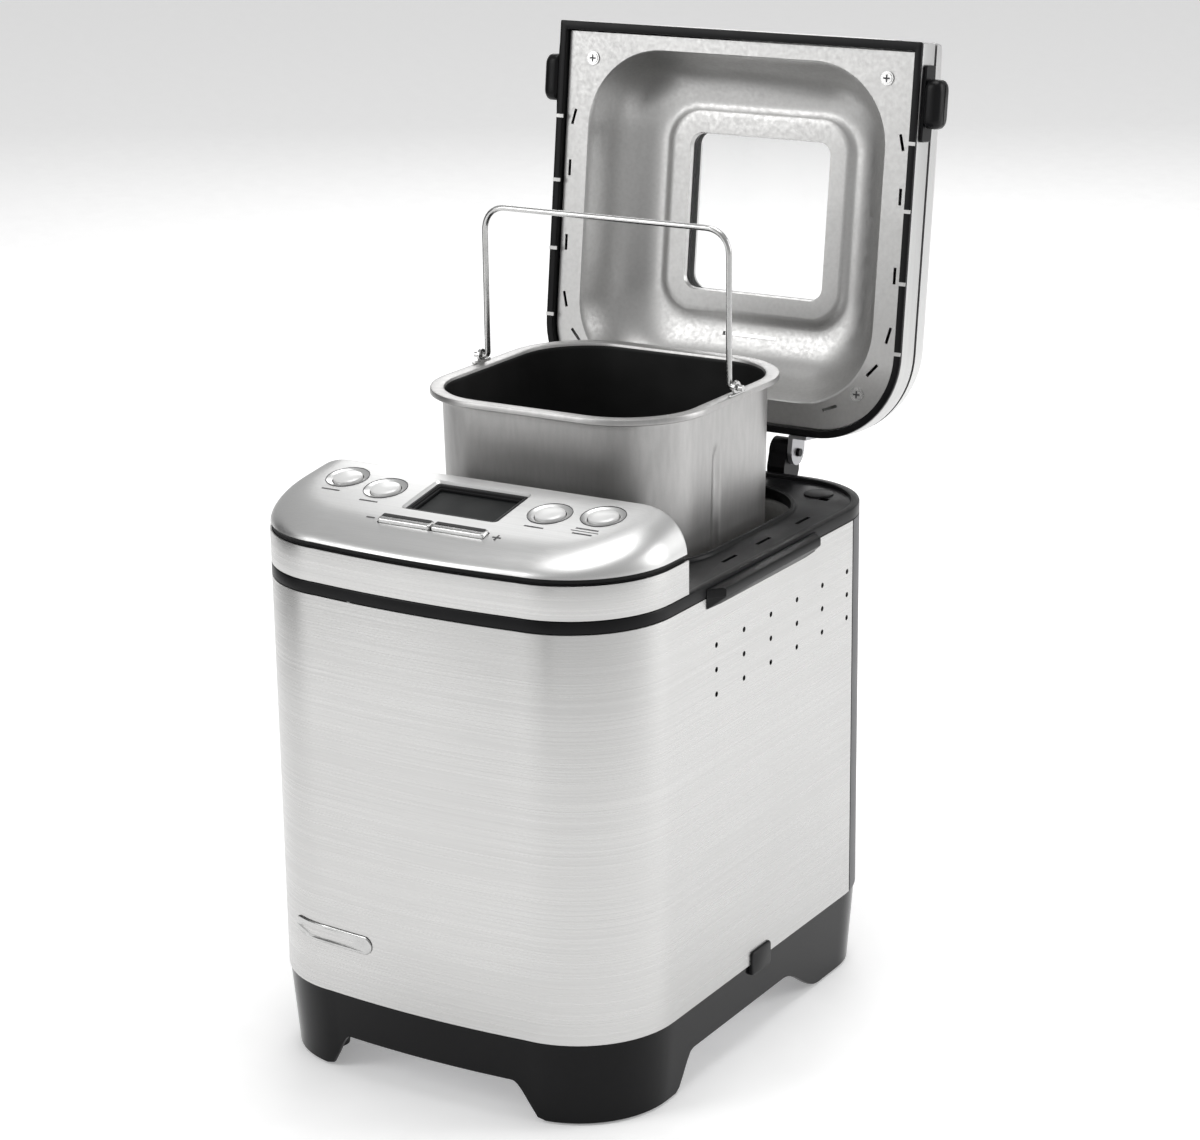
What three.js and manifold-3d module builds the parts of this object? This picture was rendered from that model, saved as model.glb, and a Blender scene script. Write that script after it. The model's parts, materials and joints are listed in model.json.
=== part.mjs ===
// Counter-top bread machine: steel body, hinged lid with a window, lift-out kneading pan.
// Millimetres, +Z up, front towards -Y. The lid stands open and the pan is lifted half out.
import * as THREE from 'three';
import * as BufferGeometryUtils from 'three/addons/utils/BufferGeometryUtils.js';
import Module from 'manifold-3d';

const wasm = await Module();
wasm.setup();

// ---------- driving dimensions ----------
const GAP = 0.3; // clearance between pieces that touch
const SHARP = 0.6; // radius of a corner that counts as square
const CORNER_STEPS = 5; // straight steps in each quarter-round corner
const BOW_STEPS = 4; // steps across the bowed front
const FAR = 600; // reach of a cutting block that passes right through the machine

const BODY_WIDTH = 250;
const BODY_DEPTH = 328;
const FRONT_CORNER = 60;
const BACK_CORNER = 55;
const FRONT_BOW = 3.3; // how far the front bulges at its middle

const SKIRT_TOP = 50.2;
const SKIRT_TAPER = 4; // how much the skirt draws in at the floor
const SKIRT_LIFT = 1; // skirt edge above the table
const SKIRT_WALL = 2.5;
const ARCH_HEIGHT = 23;
const TRAY_TOP = 26;
const TRAY_THICK = 2;
const TRAY_SLOT_PITCH = 14; // cooling slots under the oven
const TRAY_SLOT_HALF = 30;
const FOOT_RADIUS = 9;
const FOOT_INSET = 36; // foot centres from the case's sides

const SHEET = 1; // sheet-steel thickness of the outer skin
const WRAP_TOP = 286.6;
const SEAM_Y = 114; // where the steel wrap ends and the back cover starts
const SEAM_GAP = 1.5;
const LOUVRES = 8;
const LOUVRE_Z = 190; // lowest louvre
const LOUVRE_PITCH = 9;
const LOUVRE_HALF = 42;
const GLAND = { x: -58, z: 78 }; // where the cord comes out
const VENT_RADIUS = 1.6;
const VENT_COLUMNS = 6;
const VENT_ROWS = 3;
const VENT_PITCH_Y = 31.5;
const VENT_PITCH_Z = 14.3;
const VENT_FIRST_Y = -50.9;
const VENT_TOP_Z = 257;

const DECK_TOP = 294; // top of the deck's outer edge
const DECK_FLOOR = 291.5; // platform inside that edge
const DECK_EDGE = 5;
const DECK_SLOT_X = 107;
const DECK_SLOT_ROWS = [-4, 36, 84];
const DECK_HOLE = { x: 97, y: 130.5 };
const GRIP = { from: -62, to: 65, low: 280.5, high: 292 }; // ledges to lift the machine by
const BAND_TOP = 313.4;
const HATCH_HALF = 92; // opening under the controls, for their wiring
const SHADOW_LINE = 3.6; // dark line between the steel band and the silver cover
const CONTROL_BACK = -78.8; // back end of the control section
const CROWN_TOP = 352; // highest level of the crowned top
const CROWN_Y = 64;
const CROWN_CURVE = 0.00054;
const COVER_WALL = 2;
const EDGE_INSET = 0.4; // silver covers stand this far inside the steel
const PILLOW = 27; // width of the rounded margin of the silver covers

const CHAMBER_Y = 41; // centre of chamber, pan and drive
const PAN_HALF = 81;
const CHAMBER_HALF = PAN_HALF + 16; // leaves room round the pan for the heating element
const CHAMBER_CORNER = 54;
const CHAMBER_FLOOR = 108;
const MOUTH_HALF = CHAMBER_HALF - 3.5; // half-width of the deck's opening
const MOUTH_CORNER = 52;

const PAN_LIFT = 88; // how far the pan stands above its seat
const PAN_CORNER = 44;
const PAN_FLANGE = 7;
const PAN_RIM_Z = 286; // rim height when the pan is seated
const PAN_DEPTH = 144;
const PAN_WALL = 1.6;
const PAN_TAPER = 2.5;

const WIRE = 1.75; // bail wire radius
const BAIL_HALF = PAN_HALF + 1;
const BAIL_HEIGHT = 90;
const BAIL_BEND = 15;
const PIVOT_ABOVE_RIM = 4.2;
const CLIP_X = PAN_HALF + 5.6;

const HINGE_Y = BODY_DEPTH / 2 + 11.4;
const HINGE_Z = 305;
const LID_ANGLE = 97.1; // open position, from shut
const LID_GAP = 1.3; // between lid and control section
const FRAME_BOTTOM = 295.2;
const LINER_Z = 299.5;
const LINER_THICK = 1.2;
const LINER_HALF = BODY_WIDTH / 2 - 5.5;
const BOWL_HALF = 103.5;
const BOWL_CORNER = 50;
const BOWL_DEPTH = 38;
const WINDOW_HALF = 48.5;
const WINDOW_CORNER = 8;
const WINDOW_Y = 36.5;

const DRIVE_PULLEY = 45;
const MOTOR_PULLEY = 9;
const BELT_Z = 34;
const BELT_HEIGHT = 9;
const MOTOR_X = 38;
const MOTOR_Y = -98;
const SHAFT_RADIUS = 4;

// ---------- finishes ----------
const finish = (color, roughness, metalness, more = {}) =>
  new THREE.MeshStandardMaterial({ color, roughness, metalness, ...more });
const steel = finish(0xc9c8c6, 0.34, 0.9);
const satin = finish(0xc4c4c4, 0.38, 0.6);
const linerSteel = finish(0xb4b3b2, 0.4, 0.9);
const black = finish(0x151515, 0.42, 0);
const gloss = finish(0x0b0b0c, 0.12, 0);
const rubber = finish(0x1c1c1c, 0.85, 0);
const greyMetal = finish(0x6e6e70, 0.5, 0.7);
const chrome = finish(0xdcdcdc, 0.12, 1);
const panGrey = finish(0x8f8f8f, 0.42, 0.8);
const glass = finish(0xe8eeee, 0.05, 0, { transparent: true, opacity: 0.3 });
const pearl = finish(0xe4e4e2, 0.3, 0.1);
const board = finish(0x1f5a34, 0.6, 0);

// ---------- helpers ----------
const radians = (deg) => (deg * Math.PI) / 180;

/** Points of a rectangle with round corners, running anticlockwise from the back of the right side. */
function outline({ halfX, front, back, frontR, backR = frontR, bow = 0, y0 = 0 }) {
  const points = [];
  const corner = (cx, cy, r, start) => {
    const steps = r > SHARP ? CORNER_STEPS : 1;
    for (let i = 0; i <= steps; i += 1) {
      const a = start + ((Math.PI / 2) * i) / steps;
      points.push(new THREE.Vector2(cx + r * Math.cos(a), y0 + cy + r * Math.sin(a)));
    }
  };
  corner(halfX - backR, back - backR, backR, 0);
  corner(-halfX + backR, back - backR, backR, Math.PI / 2);
  corner(-halfX + frontR, front + frontR, frontR, Math.PI);
  for (let i = 1; i < BOW_STEPS; i += 1) {
    const t = (2 * i) / BOW_STEPS - 1;
    points.push(new THREE.Vector2(t * (halfX - frontR), y0 + front - bow * (1 - t * t)));
  }
  corner(halfX - frontR, front + frontR, frontR, (3 * Math.PI) / 2);
  return points;
}

const bodyOutline = (inset) =>
  outline({
    halfX: BODY_WIDTH / 2 - inset,
    front: -BODY_DEPTH / 2 + FRONT_BOW + inset,
    back: BODY_DEPTH / 2 - inset,
    frontR: FRONT_CORNER - inset,
    backR: BACK_CORNER - inset,
    bow: FRONT_BOW,
  });

const square = (half, corner, y0 = CHAMBER_Y) =>
  outline({ halfX: half, front: -half, back: half, frontR: corner, y0 });

const controlOutline = (inset, back = CONTROL_BACK) =>
  outline({
    halfX: BODY_WIDTH / 2 - inset,
    front: -BODY_DEPTH / 2 + FRONT_BOW + inset,
    back,
    frontR: FRONT_CORNER - inset,
    backR: SHARP,
    bow: FRONT_BOW,
  });

const LID_FRONT = CONTROL_BACK + LID_GAP;
const EASED = 1; // slightly eased front corners of the lid's cover and liner
const lidOutline = (inset, front = LID_FRONT, frontR = SHARP) =>
  outline({
    halfX: BODY_WIDTH / 2 - inset,
    front,
    back: BODY_DEPTH / 2 - inset,
    frontR,
    backR: BACK_CORNER - inset,
  });

const crown = (y) => CROWN_TOP - CROWN_CURVE * (y - CROWN_Y) ** 2;

const ring = (points, z) =>
  points.map((p) => new THREE.Vector3(p.x, p.y, typeof z === 'function' ? z(p) : z));

/** Skins a stack of rings that all have the same number of points, bottom first, outer wall first. */
function skin(rings, joined = false) {
  const n = rings[0].length;
  const positions = rings.flat().flatMap((p) => [p.x, p.y, p.z]);
  const index = [];
  const last = joined ? rings.length : rings.length - 1;
  for (let k = 0; k < last; k += 1) {
    const a = k * n;
    const b = ((k + 1) % rings.length) * n;
    for (let i = 0; i < n; i += 1) {
      const j = (i + 1) % n;
      index.push(a + i, a + j, b + j, a + i, b + j, b + i);
    }
  }
  if (!joined) {
    const cap = (k, up) => {
      const flat = rings[k].map((p) => new THREE.Vector2(p.x, p.y));
      for (const [a, b, c] of THREE.ShapeUtils.triangulateShape(flat, [])) {
        index.push(k * n + a, k * n + (up ? b : c), k * n + (up ? c : b));
      }
    };
    cap(0, false);
    cap(rings.length - 1, true);
  }
  const geometry = new THREE.BufferGeometry();
  geometry.setAttribute('position', new THREE.Float32BufferAttribute(positions, 3));
  geometry.setIndex(index);
  return geometry;
}

const slab = (points, z0, z1) => skin([ring(points, z0), ring(points, z1)]);

function tubeWall(outer, inner, z0, z1) {
  return skin([ring(outer, z0), ring(outer, z1), ring(inner, z1), ring(inner, z0)], true);
}

function solid(geometry) {
  const bare = new THREE.BufferGeometry();
  bare.setAttribute('position', geometry.getAttribute('position').clone());
  if (geometry.index) bare.setIndex(geometry.index.clone());
  const merged = BufferGeometryUtils.mergeVertices(bare, 1e-5);
  const mesh = new wasm.Mesh({
    numProp: 3,
    vertProperties: new Float32Array(merged.getAttribute('position').array),
    triVerts: new Uint32Array(merged.index.array),
  });
  return new wasm.Manifold(mesh);
}

function geometryOf(body) {
  const mesh = body.getMesh();
  const geometry = new THREE.BufferGeometry();
  geometry.setAttribute('position', new THREE.Float32BufferAttribute(mesh.vertProperties, 3));
  geometry.setIndex(new THREE.Uint32BufferAttribute(mesh.triVerts, 1));
  return geometry;
}

const cut = (geometry, tools) =>
  geometryOf(tools.reduce((body, tool) => body.subtract(solid(tool)), solid(geometry)));
const join = (...parts) =>
  geometryOf(parts.slice(1).reduce((body, part) => body.add(solid(part)), solid(parts[0])));
const keep = (geometry, region) => geometryOf(solid(geometry).intersect(solid(region)));

/** A box between two corners. */
function box(x0, x1, y0, y1, z0, z1) {
  const geometry = new THREE.BoxGeometry(x1 - x0, y1 - y0, z1 - z0);
  return geometry.translate((x0 + x1) / 2, (y0 + y1) / 2, (z0 + z1) / 2);
}

/** A box centred on the Z axis, from its half-widths. */
const centred = (hx, hy, z0, z1) => box(-hx, hx, -hy, hy, z0, z1);

/** An upright cylinder between two heights. */
function post(radius, x, y, z0, z1, sides = 24, topRadius = radius) {
  const geometry = new THREE.CylinderGeometry(topRadius, radius, z1 - z0, sides);
  return geometry.rotateX(Math.PI / 2).translate(x, y, (z0 + z1) / 2);
}

/** A cylinder along X between two stations. */
function bar(radius, x0, x1, y, z, sides = 20) {
  const geometry = new THREE.CylinderGeometry(radius, radius, x1 - x0, sides);
  return geometry.rotateZ(-Math.PI / 2).translate((x0 + x1) / 2, y, z);
}

/** A turned piece on the Z axis from [radius, height] pairs that start and end on the axis. */
function turned(profile, sides = 24) {
  const points = profile.map(([r, z]) => new THREE.Vector2(r, z));
  return new THREE.LatheGeometry(points, sides).rotateX(Math.PI / 2);
}

function circleShape(radius, sides) {
  const shape = new THREE.Shape();
  for (let i = 0; i < sides; i += 1) {
    const a = (2 * Math.PI * i) / sides;
    if (i) shape.lineTo(radius * Math.cos(a), radius * Math.sin(a));
    else shape.moveTo(radius, 0);
  }
  return shape;
}

/** A round bar bent along a curve. */
function wire(curve, radius, steps, sides = 10) {
  return new THREE.ExtrudeGeometry(circleShape(radius, sides), { steps, extrudePath: curve });
}

/** A chain of straight runs joined by quarter bends, as one curve. */
function bentPath(points, bend) {
  const bendAt = (i) => (Array.isArray(bend) ? bend[i] : bend);
  const path = new THREE.CurvePath();
  let start = points[0];
  for (let i = 1; i < points.length - 1; i += 1) {
    const before = points[i].clone().sub(points[i - 1]).setLength(bendAt(i));
    const after = points[i + 1].clone().sub(points[i]).setLength(bendAt(i));
    const enter = points[i].clone().sub(before);
    const leave = points[i].clone().add(after);
    path.add(new THREE.LineCurve3(start, enter));
    path.add(new THREE.QuadraticBezierCurve3(enter, points[i].clone(), leave));
    start = leave;
  }
  path.add(new THREE.LineCurve3(start, points[points.length - 1]));
  return path;
}

// ---------- the tree of groups ----------
const chassis = new THREE.Group();
const lid = new THREE.Group();
const pan = new THREE.Group();
pan.position.z = PAN_LIFT;
lid.position.set(0, HINGE_Y, HINGE_Z);
lid.rotation.x = -radians(LID_ANGLE);
const lidShut = new THREE.Group(); // lid pieces are drawn shut, in the body's frame
lidShut.position.set(0, -HINGE_Y, -HINGE_Z);
lid.add(lidShut);

function addMesh(group, name, geometry, material) {
  const plain = geometry.index ? geometry.toNonIndexed() : geometry;
  const clean = new THREE.BufferGeometry();
  clean.setAttribute('position', plain.getAttribute('position'));
  clean.computeVertexNormals();
  const mesh = new THREE.Mesh(clean, material);
  mesh.name = name;
  group.add(mesh);
}
const SIDES = [
  ['left', -1],
  ['right', 1],
];

// ---------- base ----------
const skirtInset = (z) => 0.8 + SKIRT_TAPER * (1 - z / SKIRT_TOP);

function archCut(across, halfLow, halfHigh, shift) {
  const shape = new THREE.Shape();
  shape.moveTo(-halfLow + shift, -1);
  shape.lineTo(halfLow + shift, -1);
  shape.quadraticCurveTo(halfHigh + shift + 4, ARCH_HEIGHT, halfHigh + shift - 8, ARCH_HEIGHT);
  shape.lineTo(-halfHigh + shift + 8, ARCH_HEIGHT);
  shape.quadraticCurveTo(-halfHigh + shift - 4, ARCH_HEIGHT, -halfLow + shift, -1);
  const geometry = new THREE.ExtrudeGeometry(shape, { depth: FAR, bevelEnabled: false, curveSegments: 4 });
  geometry.rotateX(Math.PI / 2).translate(0, FAR / 2, 0);
  return across ? geometry.rotateZ(Math.PI / 2) : geometry;
}

function baseSkirt() {
  const wall = skin(
    [
      ring(bodyOutline(skirtInset(SKIRT_LIFT)), SKIRT_LIFT),
      ring(bodyOutline(skirtInset(SKIRT_TOP)), SKIRT_TOP),
      ring(bodyOutline(skirtInset(SKIRT_TOP) + SKIRT_WALL), SKIRT_TOP),
      ring(bodyOutline(skirtInset(SKIRT_LIFT) + SKIRT_WALL), SKIRT_LIFT),
    ],
    true,
  );
  const frontHalf = BODY_WIDTH / 2 - 52;
  const sideHalf = BODY_DEPTH / 2 - 76;
  const alongY = archCut(false, frontHalf, frontHalf - 14, 0);
  const alongX = archCut(true, sideHalf, sideHalf - 20, 0);
  return cut(wall, [alongY, alongX]);
}

function baseTray() {
  const plate = slab(bodyOutline(8), TRAY_TOP - TRAY_THICK, TRAY_TOP);
  const slots = [-2, -1, 0, 1, 2].map((i) => {
    const y = i * TRAY_SLOT_PITCH;
    return box(-TRAY_SLOT_HALF, TRAY_SLOT_HALF, y - 3, y + 3, 0, TRAY_TOP + 5);
  });
  return cut(plate, slots);
}

addMesh(chassis, 'base_skirt', baseSkirt(), gloss);
addMesh(chassis, 'base_tray', baseTray(), greyMetal);
for (const [side, sx] of SIDES) {
  for (const [end, sy] of [['front', -1], ['back', 1]]) {
    const x = sx * (BODY_WIDTH / 2 - FOOT_INSET);
    const y = sy * (BODY_DEPTH / 2 - FOOT_INSET);
    const foot = post(FOOT_RADIUS, x, y, 0, TRAY_TOP - TRAY_THICK - GAP, 24, FOOT_RADIUS + 2);
    addMesh(chassis, `foot_${end}_${side}`, foot, rubber);
  }
}

// ---------- outer skin ----------
const skinWall = () => tubeWall(bodyOutline(0), bodyOutline(SHEET), SKIRT_TOP + GAP, WRAP_TOP);

function wrapSteel() {
  const front = keep(skinWall(), box(-FAR, FAR, -FAR, SEAM_Y, 0, FAR));
  const holes = [];
  for (let i = 0; i < VENT_COLUMNS; i += 1) {
    for (let j = 0; j < VENT_ROWS; j += 1) {
      const y = VENT_FIRST_Y + i * VENT_PITCH_Y;
      holes.push(bar(VENT_RADIUS, -FAR, FAR, y, VENT_TOP_Z - j * VENT_PITCH_Z, 6));
    }
  }
  return cut(front, holes);
}

function backCover() {
  const back = keep(skinWall(), box(-FAR, FAR, SEAM_Y + SEAM_GAP, FAR, 0, FAR));
  const louvres = [];
  for (let i = 0; i < LOUVRES; i += 1) {
    const z = LOUVRE_Z + i * LOUVRE_PITCH;
    louvres.push(box(-LOUVRE_HALF, LOUVRE_HALF, BODY_DEPTH / 2 - 14, FAR, z, z + 3.5));
  }
  const inlet = bar(6.2, -10, 10, 0, 0, 16);
  inlet.rotateZ(Math.PI / 2).translate(GLAND.x, BODY_DEPTH / 2, GLAND.z);
  return cut(back, [...louvres, inlet]);
}

function cordGland() {
  const inside = -SHEET - GAP;
  const profile = [
    [0, -6],
    [9, -6],
    [9, inside],
    [5.8, inside],
    [5.8, GAP],
    [8.5, GAP],
    [7, 5],
    [4, 6],
    [4, 1],
    [0, 1],
  ];
  return turned(profile, 16).rotateX(-Math.PI / 2).translate(GLAND.x, BODY_DEPTH / 2, GLAND.z);
}

addMesh(chassis, 'wrap_steel', wrapSteel(), steel);
addMesh(chassis, 'back_cover', backCover(), greyMetal);
addMesh(chassis, 'cord_gland', cordGland(), rubber);

// ---------- deck ----------
function deckFrame() {
  const plate = slab(bodyOutline(0), WRAP_TOP + GAP, DECK_FLOOR);
  const edge = tubeWall(bodyOutline(0), bodyOutline(DECK_EDGE), DECK_FLOOR - 1, DECK_TOP);
  const step = slab(controlOutline(1, CONTROL_BACK - 1), DECK_FLOOR - 1, DECK_TOP);
  const lipOuter = square(MOUTH_HALF + 3, MOUTH_CORNER + 3);
  const lipWall = tubeWall(lipOuter, square(MOUTH_HALF, MOUTH_CORNER), WRAP_TOP + GAP, DECK_TOP);
  const whole = join(plate, edge, step, lipWall);
  const mouth = slab(square(MOUTH_HALF, MOUTH_CORNER), 0, FAR);
  const controlHatch = box(-HATCH_HALF, HATCH_HALF, -138, -88, 0, FAR);
  const tools = [mouth, controlHatch];
  for (const [, sx] of SIDES) {
    for (const y of DECK_SLOT_ROWS) {
      tools.push(centred(1.2, 8, 0, FAR).translate(sx * DECK_SLOT_X, y, 0));
    }
    tools.push(centred(3, 2.5, 0, FAR).translate(sx * DECK_HOLE.x, DECK_HOLE.y, 0));
  }
  return cut(whole, tools);
}
addMesh(chassis, 'deck_frame', deckFrame(), black);

/** A ledge to lift the machine by: a bar with slanted ends and a bevelled underside. */
function sideGrip(sx) {
  const { from, to, low, high } = GRIP;
  const wall = BODY_WIDTH / 2 + GAP;
  const ledge = (reach, slant, z) => {
    const points = [
      [wall, from],
      [wall + reach, from + slant],
      [wall + reach, to - slant],
      [wall, to],
    ].map(([x, y]) => new THREE.Vector3(sx * x, y, z));
    return sx > 0 ? points : points.reverse();
  };
  return skin([
    ledge(1.2, 14, low),
    ledge(7.7, 8, low + 6.5),
    ledge(7.7, 8, high - 1),
    ledge(6.5, 7, high),
  ]);
}
for (const [side, sx] of SIDES) addMesh(chassis, `side_grip_${side}`, sideGrip(sx), black);

// ---------- control section ----------
const bandBottom = DECK_TOP + GAP;
const controlBand = () => {
  const inner = controlOutline(SHEET, CONTROL_BACK - SHEET);
  const wall = tubeWall(controlOutline(0), inner, bandBottom, BAND_TOP);
  return cut(wall, [box(-BODY_WIDTH, BODY_WIDTH, CONTROL_BACK - 2 * SHEET, 0, 0, FAR)]);
};

/** Rings of a silver pillow-shaped cover, from its edge inwards. */
function pillowRings(outlineAt, edgeZ, thickness, inner) {
  const steps = inner ? [0, 0.25, 0.6, 1] : [0, 0.1, 0.28, 0.55, 1];
  return steps.map((t) => {
    const inset = EDGE_INSET + thickness + t * PILLOW;
    const lift = (1 - (1 - t) ** 2.4) ** 0.55;
    return ring(outlineAt(inset), (p) => edgeZ + (crown(p.y) - thickness - edgeZ) * lift);
  });
}

const COVER_EDGE = BAND_TOP + SHADOW_LINE;
const buttonSpots = [
  ['program', -84, -101],
  ['colour', -54, -107],
  ['size', 54, -107],
  ['start', 84, -101],
];
const BUTTON_RADIUS = 8.5;
const KEY_Y = -140;
const KEY_HALF_LENGTH = 16.8;
const KEY_HALF_WIDTH = 3.4;
const LCD = { x0: -29.5, x1: 29.5, y0: -124, y1: -90 };
const tilt = (y) => Math.atan(-2 * CROWN_CURVE * (y - CROWN_Y));

/** Lays a piece drawn about the origin, face up, on the crowned top. */
const onCrown = (geometry, x, y, above = 0) =>
  geometry.rotateX(tilt(y)).translate(x, y, crown(y) + above);

const coverBack = CONTROL_BACK - 1.6;
const controlShape = (inset, wall = 0) => controlOutline(inset, coverBack - wall);

const DISH = turned([[0, -1.5], [6, -1.3], [12.5, 0.3], [12.5, 4], [0, 4]], 20);
const lcdMid = { x: (LCD.x0 + LCD.x1) / 2, y: (LCD.y0 + LCD.y1) / 2 };
const lcdHalf = { x: (LCD.x1 - LCD.x0) / 2, y: (LCD.y1 - LCD.y0) / 2 };
const keysHalf = 2 * KEY_HALF_LENGTH + 1.2;

function controlCover() {
  const top = skin(pillowRings(controlShape, COVER_EDGE, 0, false));
  const shapeInside = (inset) => controlShape(inset, COVER_WALL);
  const inner = pillowRings(shapeInside, COVER_EDGE, COVER_WALL, true);
  const shell = cut(top, [skin([ring(shapeInside(EDGE_INSET + COVER_WALL), BAND_TOP), ...inner])]);
  const tools = buttonSpots.flatMap(([, x, y]) => [
    onCrown(post(BUTTON_RADIUS + GAP, 0, 0, -9, 9), x, y),
    onCrown(DISH.clone(), x, y),
  ]);
  tools.push(onCrown(centred(keysHalf + GAP, KEY_HALF_WIDTH + GAP, -9, 9), 0, KEY_Y));
  tools.push(onCrown(centred(lcdHalf.x + GAP, lcdHalf.y + GAP, -12, 9), lcdMid.x, lcdMid.y));
  return cut(shell, tools);
}

/** Black tub under the silver cover: it shows as the dark line at the cover's edge. */
function controlHousing() {
  const wall = 2.4;
  const inset = SHEET + GAP;
  const outer = controlShape(inset);
  const edge = tubeWall(outer, controlShape(inset + wall, wall), bandBottom, COVER_EDGE - GAP);
  const floor = slab(outer, bandBottom, bandBottom + 2);
  return cut(join(edge, floor), [box(-HATCH_HALF, HATCH_HALF, -138, -95, 0, 310)]);
}

function lcdFrame() {
  const outer = centred(lcdHalf.x, lcdHalf.y, -6, 0.2);
  const opening = centred(lcdHalf.x - 3.2, lcdHalf.y - 3, -7, 3);
  return onCrown(cut(outer, [opening]), lcdMid.x, lcdMid.y);
}
const lcdPlate = (z0, z1) =>
  onCrown(centred(lcdHalf.x - 3.2 - GAP, lcdHalf.y - 3 - GAP, z0, z1), lcdMid.x, lcdMid.y);

addMesh(chassis, 'control_band', controlBand(), steel);
addMesh(chassis, 'control_housing', controlHousing(), black);
addMesh(chassis, 'control_cover', controlCover(), satin);
addMesh(chassis, 'lcd_frame', lcdFrame(), black);
addMesh(chassis, 'lcd_lens', lcdPlate(-2.6, -1.4), gloss);
const BOARD_Z = 304;
addMesh(chassis, 'control_board', box(-90, 90, -136, -98, BOARD_Z, BOARD_Z + 1.6), board);

for (const [name, x, y] of buttonSpots) {
  const r = BUTTON_RADIUS;
  const cap = turned([[0, -7], [r, -7], [r, -0.6], [r - 1, 0.5], [r - 3.5, 1.1], [0, 1.5]], 20);
  addMesh(chassis, `button_${name}`, onCrown(cap, x, y), pearl);
}
for (const [name, sx] of [['minus', -1], ['plus', 1]]) {
  const shape = new THREE.Shape();
  shape.moveTo(-KEY_HALF_WIDTH, -6);
  shape.lineTo(KEY_HALF_WIDTH, -6);
  shape.lineTo(KEY_HALF_WIDTH, 0.2);
  shape.quadraticCurveTo(KEY_HALF_WIDTH, 1.6, KEY_HALF_WIDTH - 1.6, 1.6);
  shape.lineTo(-KEY_HALF_WIDTH + 2.4, 1);
  shape.lineTo(-KEY_HALF_WIDTH, 0.2);
  const key = new THREE.ExtrudeGeometry(shape, {
    depth: 2 * KEY_HALF_LENGTH,
    bevelEnabled: false,
    curveSegments: 4,
  });
  key.rotateY(Math.PI / 2).rotateX(Math.PI / 2).translate(-KEY_HALF_LENGTH, 0, 0);
  key.translate(sx * (KEY_HALF_LENGTH + 0.6), 0, 0);
  addMesh(chassis, `key_${name}`, onCrown(key, 0, KEY_Y), chrome);
}

// ---------- baking chamber ----------
const ELEMENT_Z = 126;
const ELEMENT_RADIUS = 3.2;
const ELEMENT_HALF = CHAMBER_HALF - 9;
const ELEMENT_CORNER = 50;
const SEAT_RADIUS = 41;
const chamberTop = WRAP_TOP - GAP;

function chamberLiner() {
  const t = 0.9;
  const wall = (inset) => square(CHAMBER_HALF - inset, CHAMBER_CORNER - inset);
  const tub = skin([
    ring(wall(8), CHAMBER_FLOOR),
    ring(wall(2.4), CHAMBER_FLOOR + 2.4),
    ring(wall(0), CHAMBER_FLOOR + 8),
    ring(wall(0), chamberTop - t),
    ring(wall(-5), chamberTop - t),
    ring(wall(-5), chamberTop),
    ring(wall(t), chamberTop),
    ring(wall(t), CHAMBER_FLOOR + 8),
    ring(wall(2.4 + t), CHAMBER_FLOOR + 2.4 + t),
    ring(wall(8 + t), CHAMBER_FLOOR + t),
  ]);
  const front = CHAMBER_Y - CHAMBER_HALF;
  const legs = [-12, 12].map((x) => {
    const hole = bar(ELEMENT_RADIUS + 1, -6, 6, 0, 0, 12);
    return hole.rotateZ(Math.PI / 2).translate(x, front, ELEMENT_Z);
  });
  const probe = bar(2.3 + GAP, -6, 6, 0, 0, 12);
  probe.rotateZ(Math.PI / 2).translate(48, front, 170);
  return cut(tub, [...legs, probe, post(14, 0, CHAMBER_Y, CHAMBER_FLOOR - 5, CHAMBER_FLOOR + 5)]);
}

function heatingElement() {
  const h = ELEMENT_HALF;
  const front = CHAMBER_Y - h;
  const path = bentPath(
    [
      [-12, front - 22],
      [-12, front + 4],
      [-h, front + 4],
      [-h, CHAMBER_Y + h],
      [h, CHAMBER_Y + h],
      [h, front + 4],
      [12, front + 4],
      [12, front - 22],
    ].map(([x, y]) => new THREE.Vector3(x, y, ELEMENT_Z)),
    [0, 10, ELEMENT_CORNER, ELEMENT_CORNER, ELEMENT_CORNER, ELEMENT_CORNER, 10],
  );
  return wire(path, ELEMENT_RADIUS, 56, 8);
}

/** Four quarter-turns of the seat's wall are cut away, so the pan's foot can be felt for and gripped. */
function panSeat() {
  const r = SEAT_RADIUS;
  const z0 = CHAMBER_FLOOR + 0.9 + GAP;
  const seat = turned([
    [r - 7, z0],
    [r + 8, z0],
    [r + 8, z0 + 1.5],
    [r + 1.5, z0 + 1.5],
    [r + 1.5, z0 + 18],
    [r, z0 + 18],
    [r, z0 + 1.5],
    [r - 7, z0 + 1.5],
    [r - 7, z0],
  ], 28);
  return cut(seat.translate(0, CHAMBER_Y, 0), [
    box(-60, 60, CHAMBER_Y - 9, CHAMBER_Y + 9, z0 + 5, z0 + 30),
    box(-9, 9, CHAMBER_Y - 60, CHAMBER_Y + 60, z0 + 5, z0 + 30),
  ]);
}

function sensorProbe() {
  const probe = turned([[0, -10], [5, -10], [5, -3], [2.3, -3], [2.3, 7], [1.4, 8], [0, 8]], 12);
  return probe.rotateX(-Math.PI / 2).translate(48, CHAMBER_Y - CHAMBER_HALF, 170);
}

addMesh(chassis, 'chamber_liner', chamberLiner(), steel);
addMesh(chassis, 'heating_element', heatingElement(), greyMetal);
addMesh(chassis, 'pan_seat', panSeat(), steel);
addMesh(chassis, 'temperature_probe', sensorProbe(), steel);

// ---------- drive ----------
const PLATE_Z = 56;
const driveTop = BELT_Z + BELT_HEIGHT;

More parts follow.
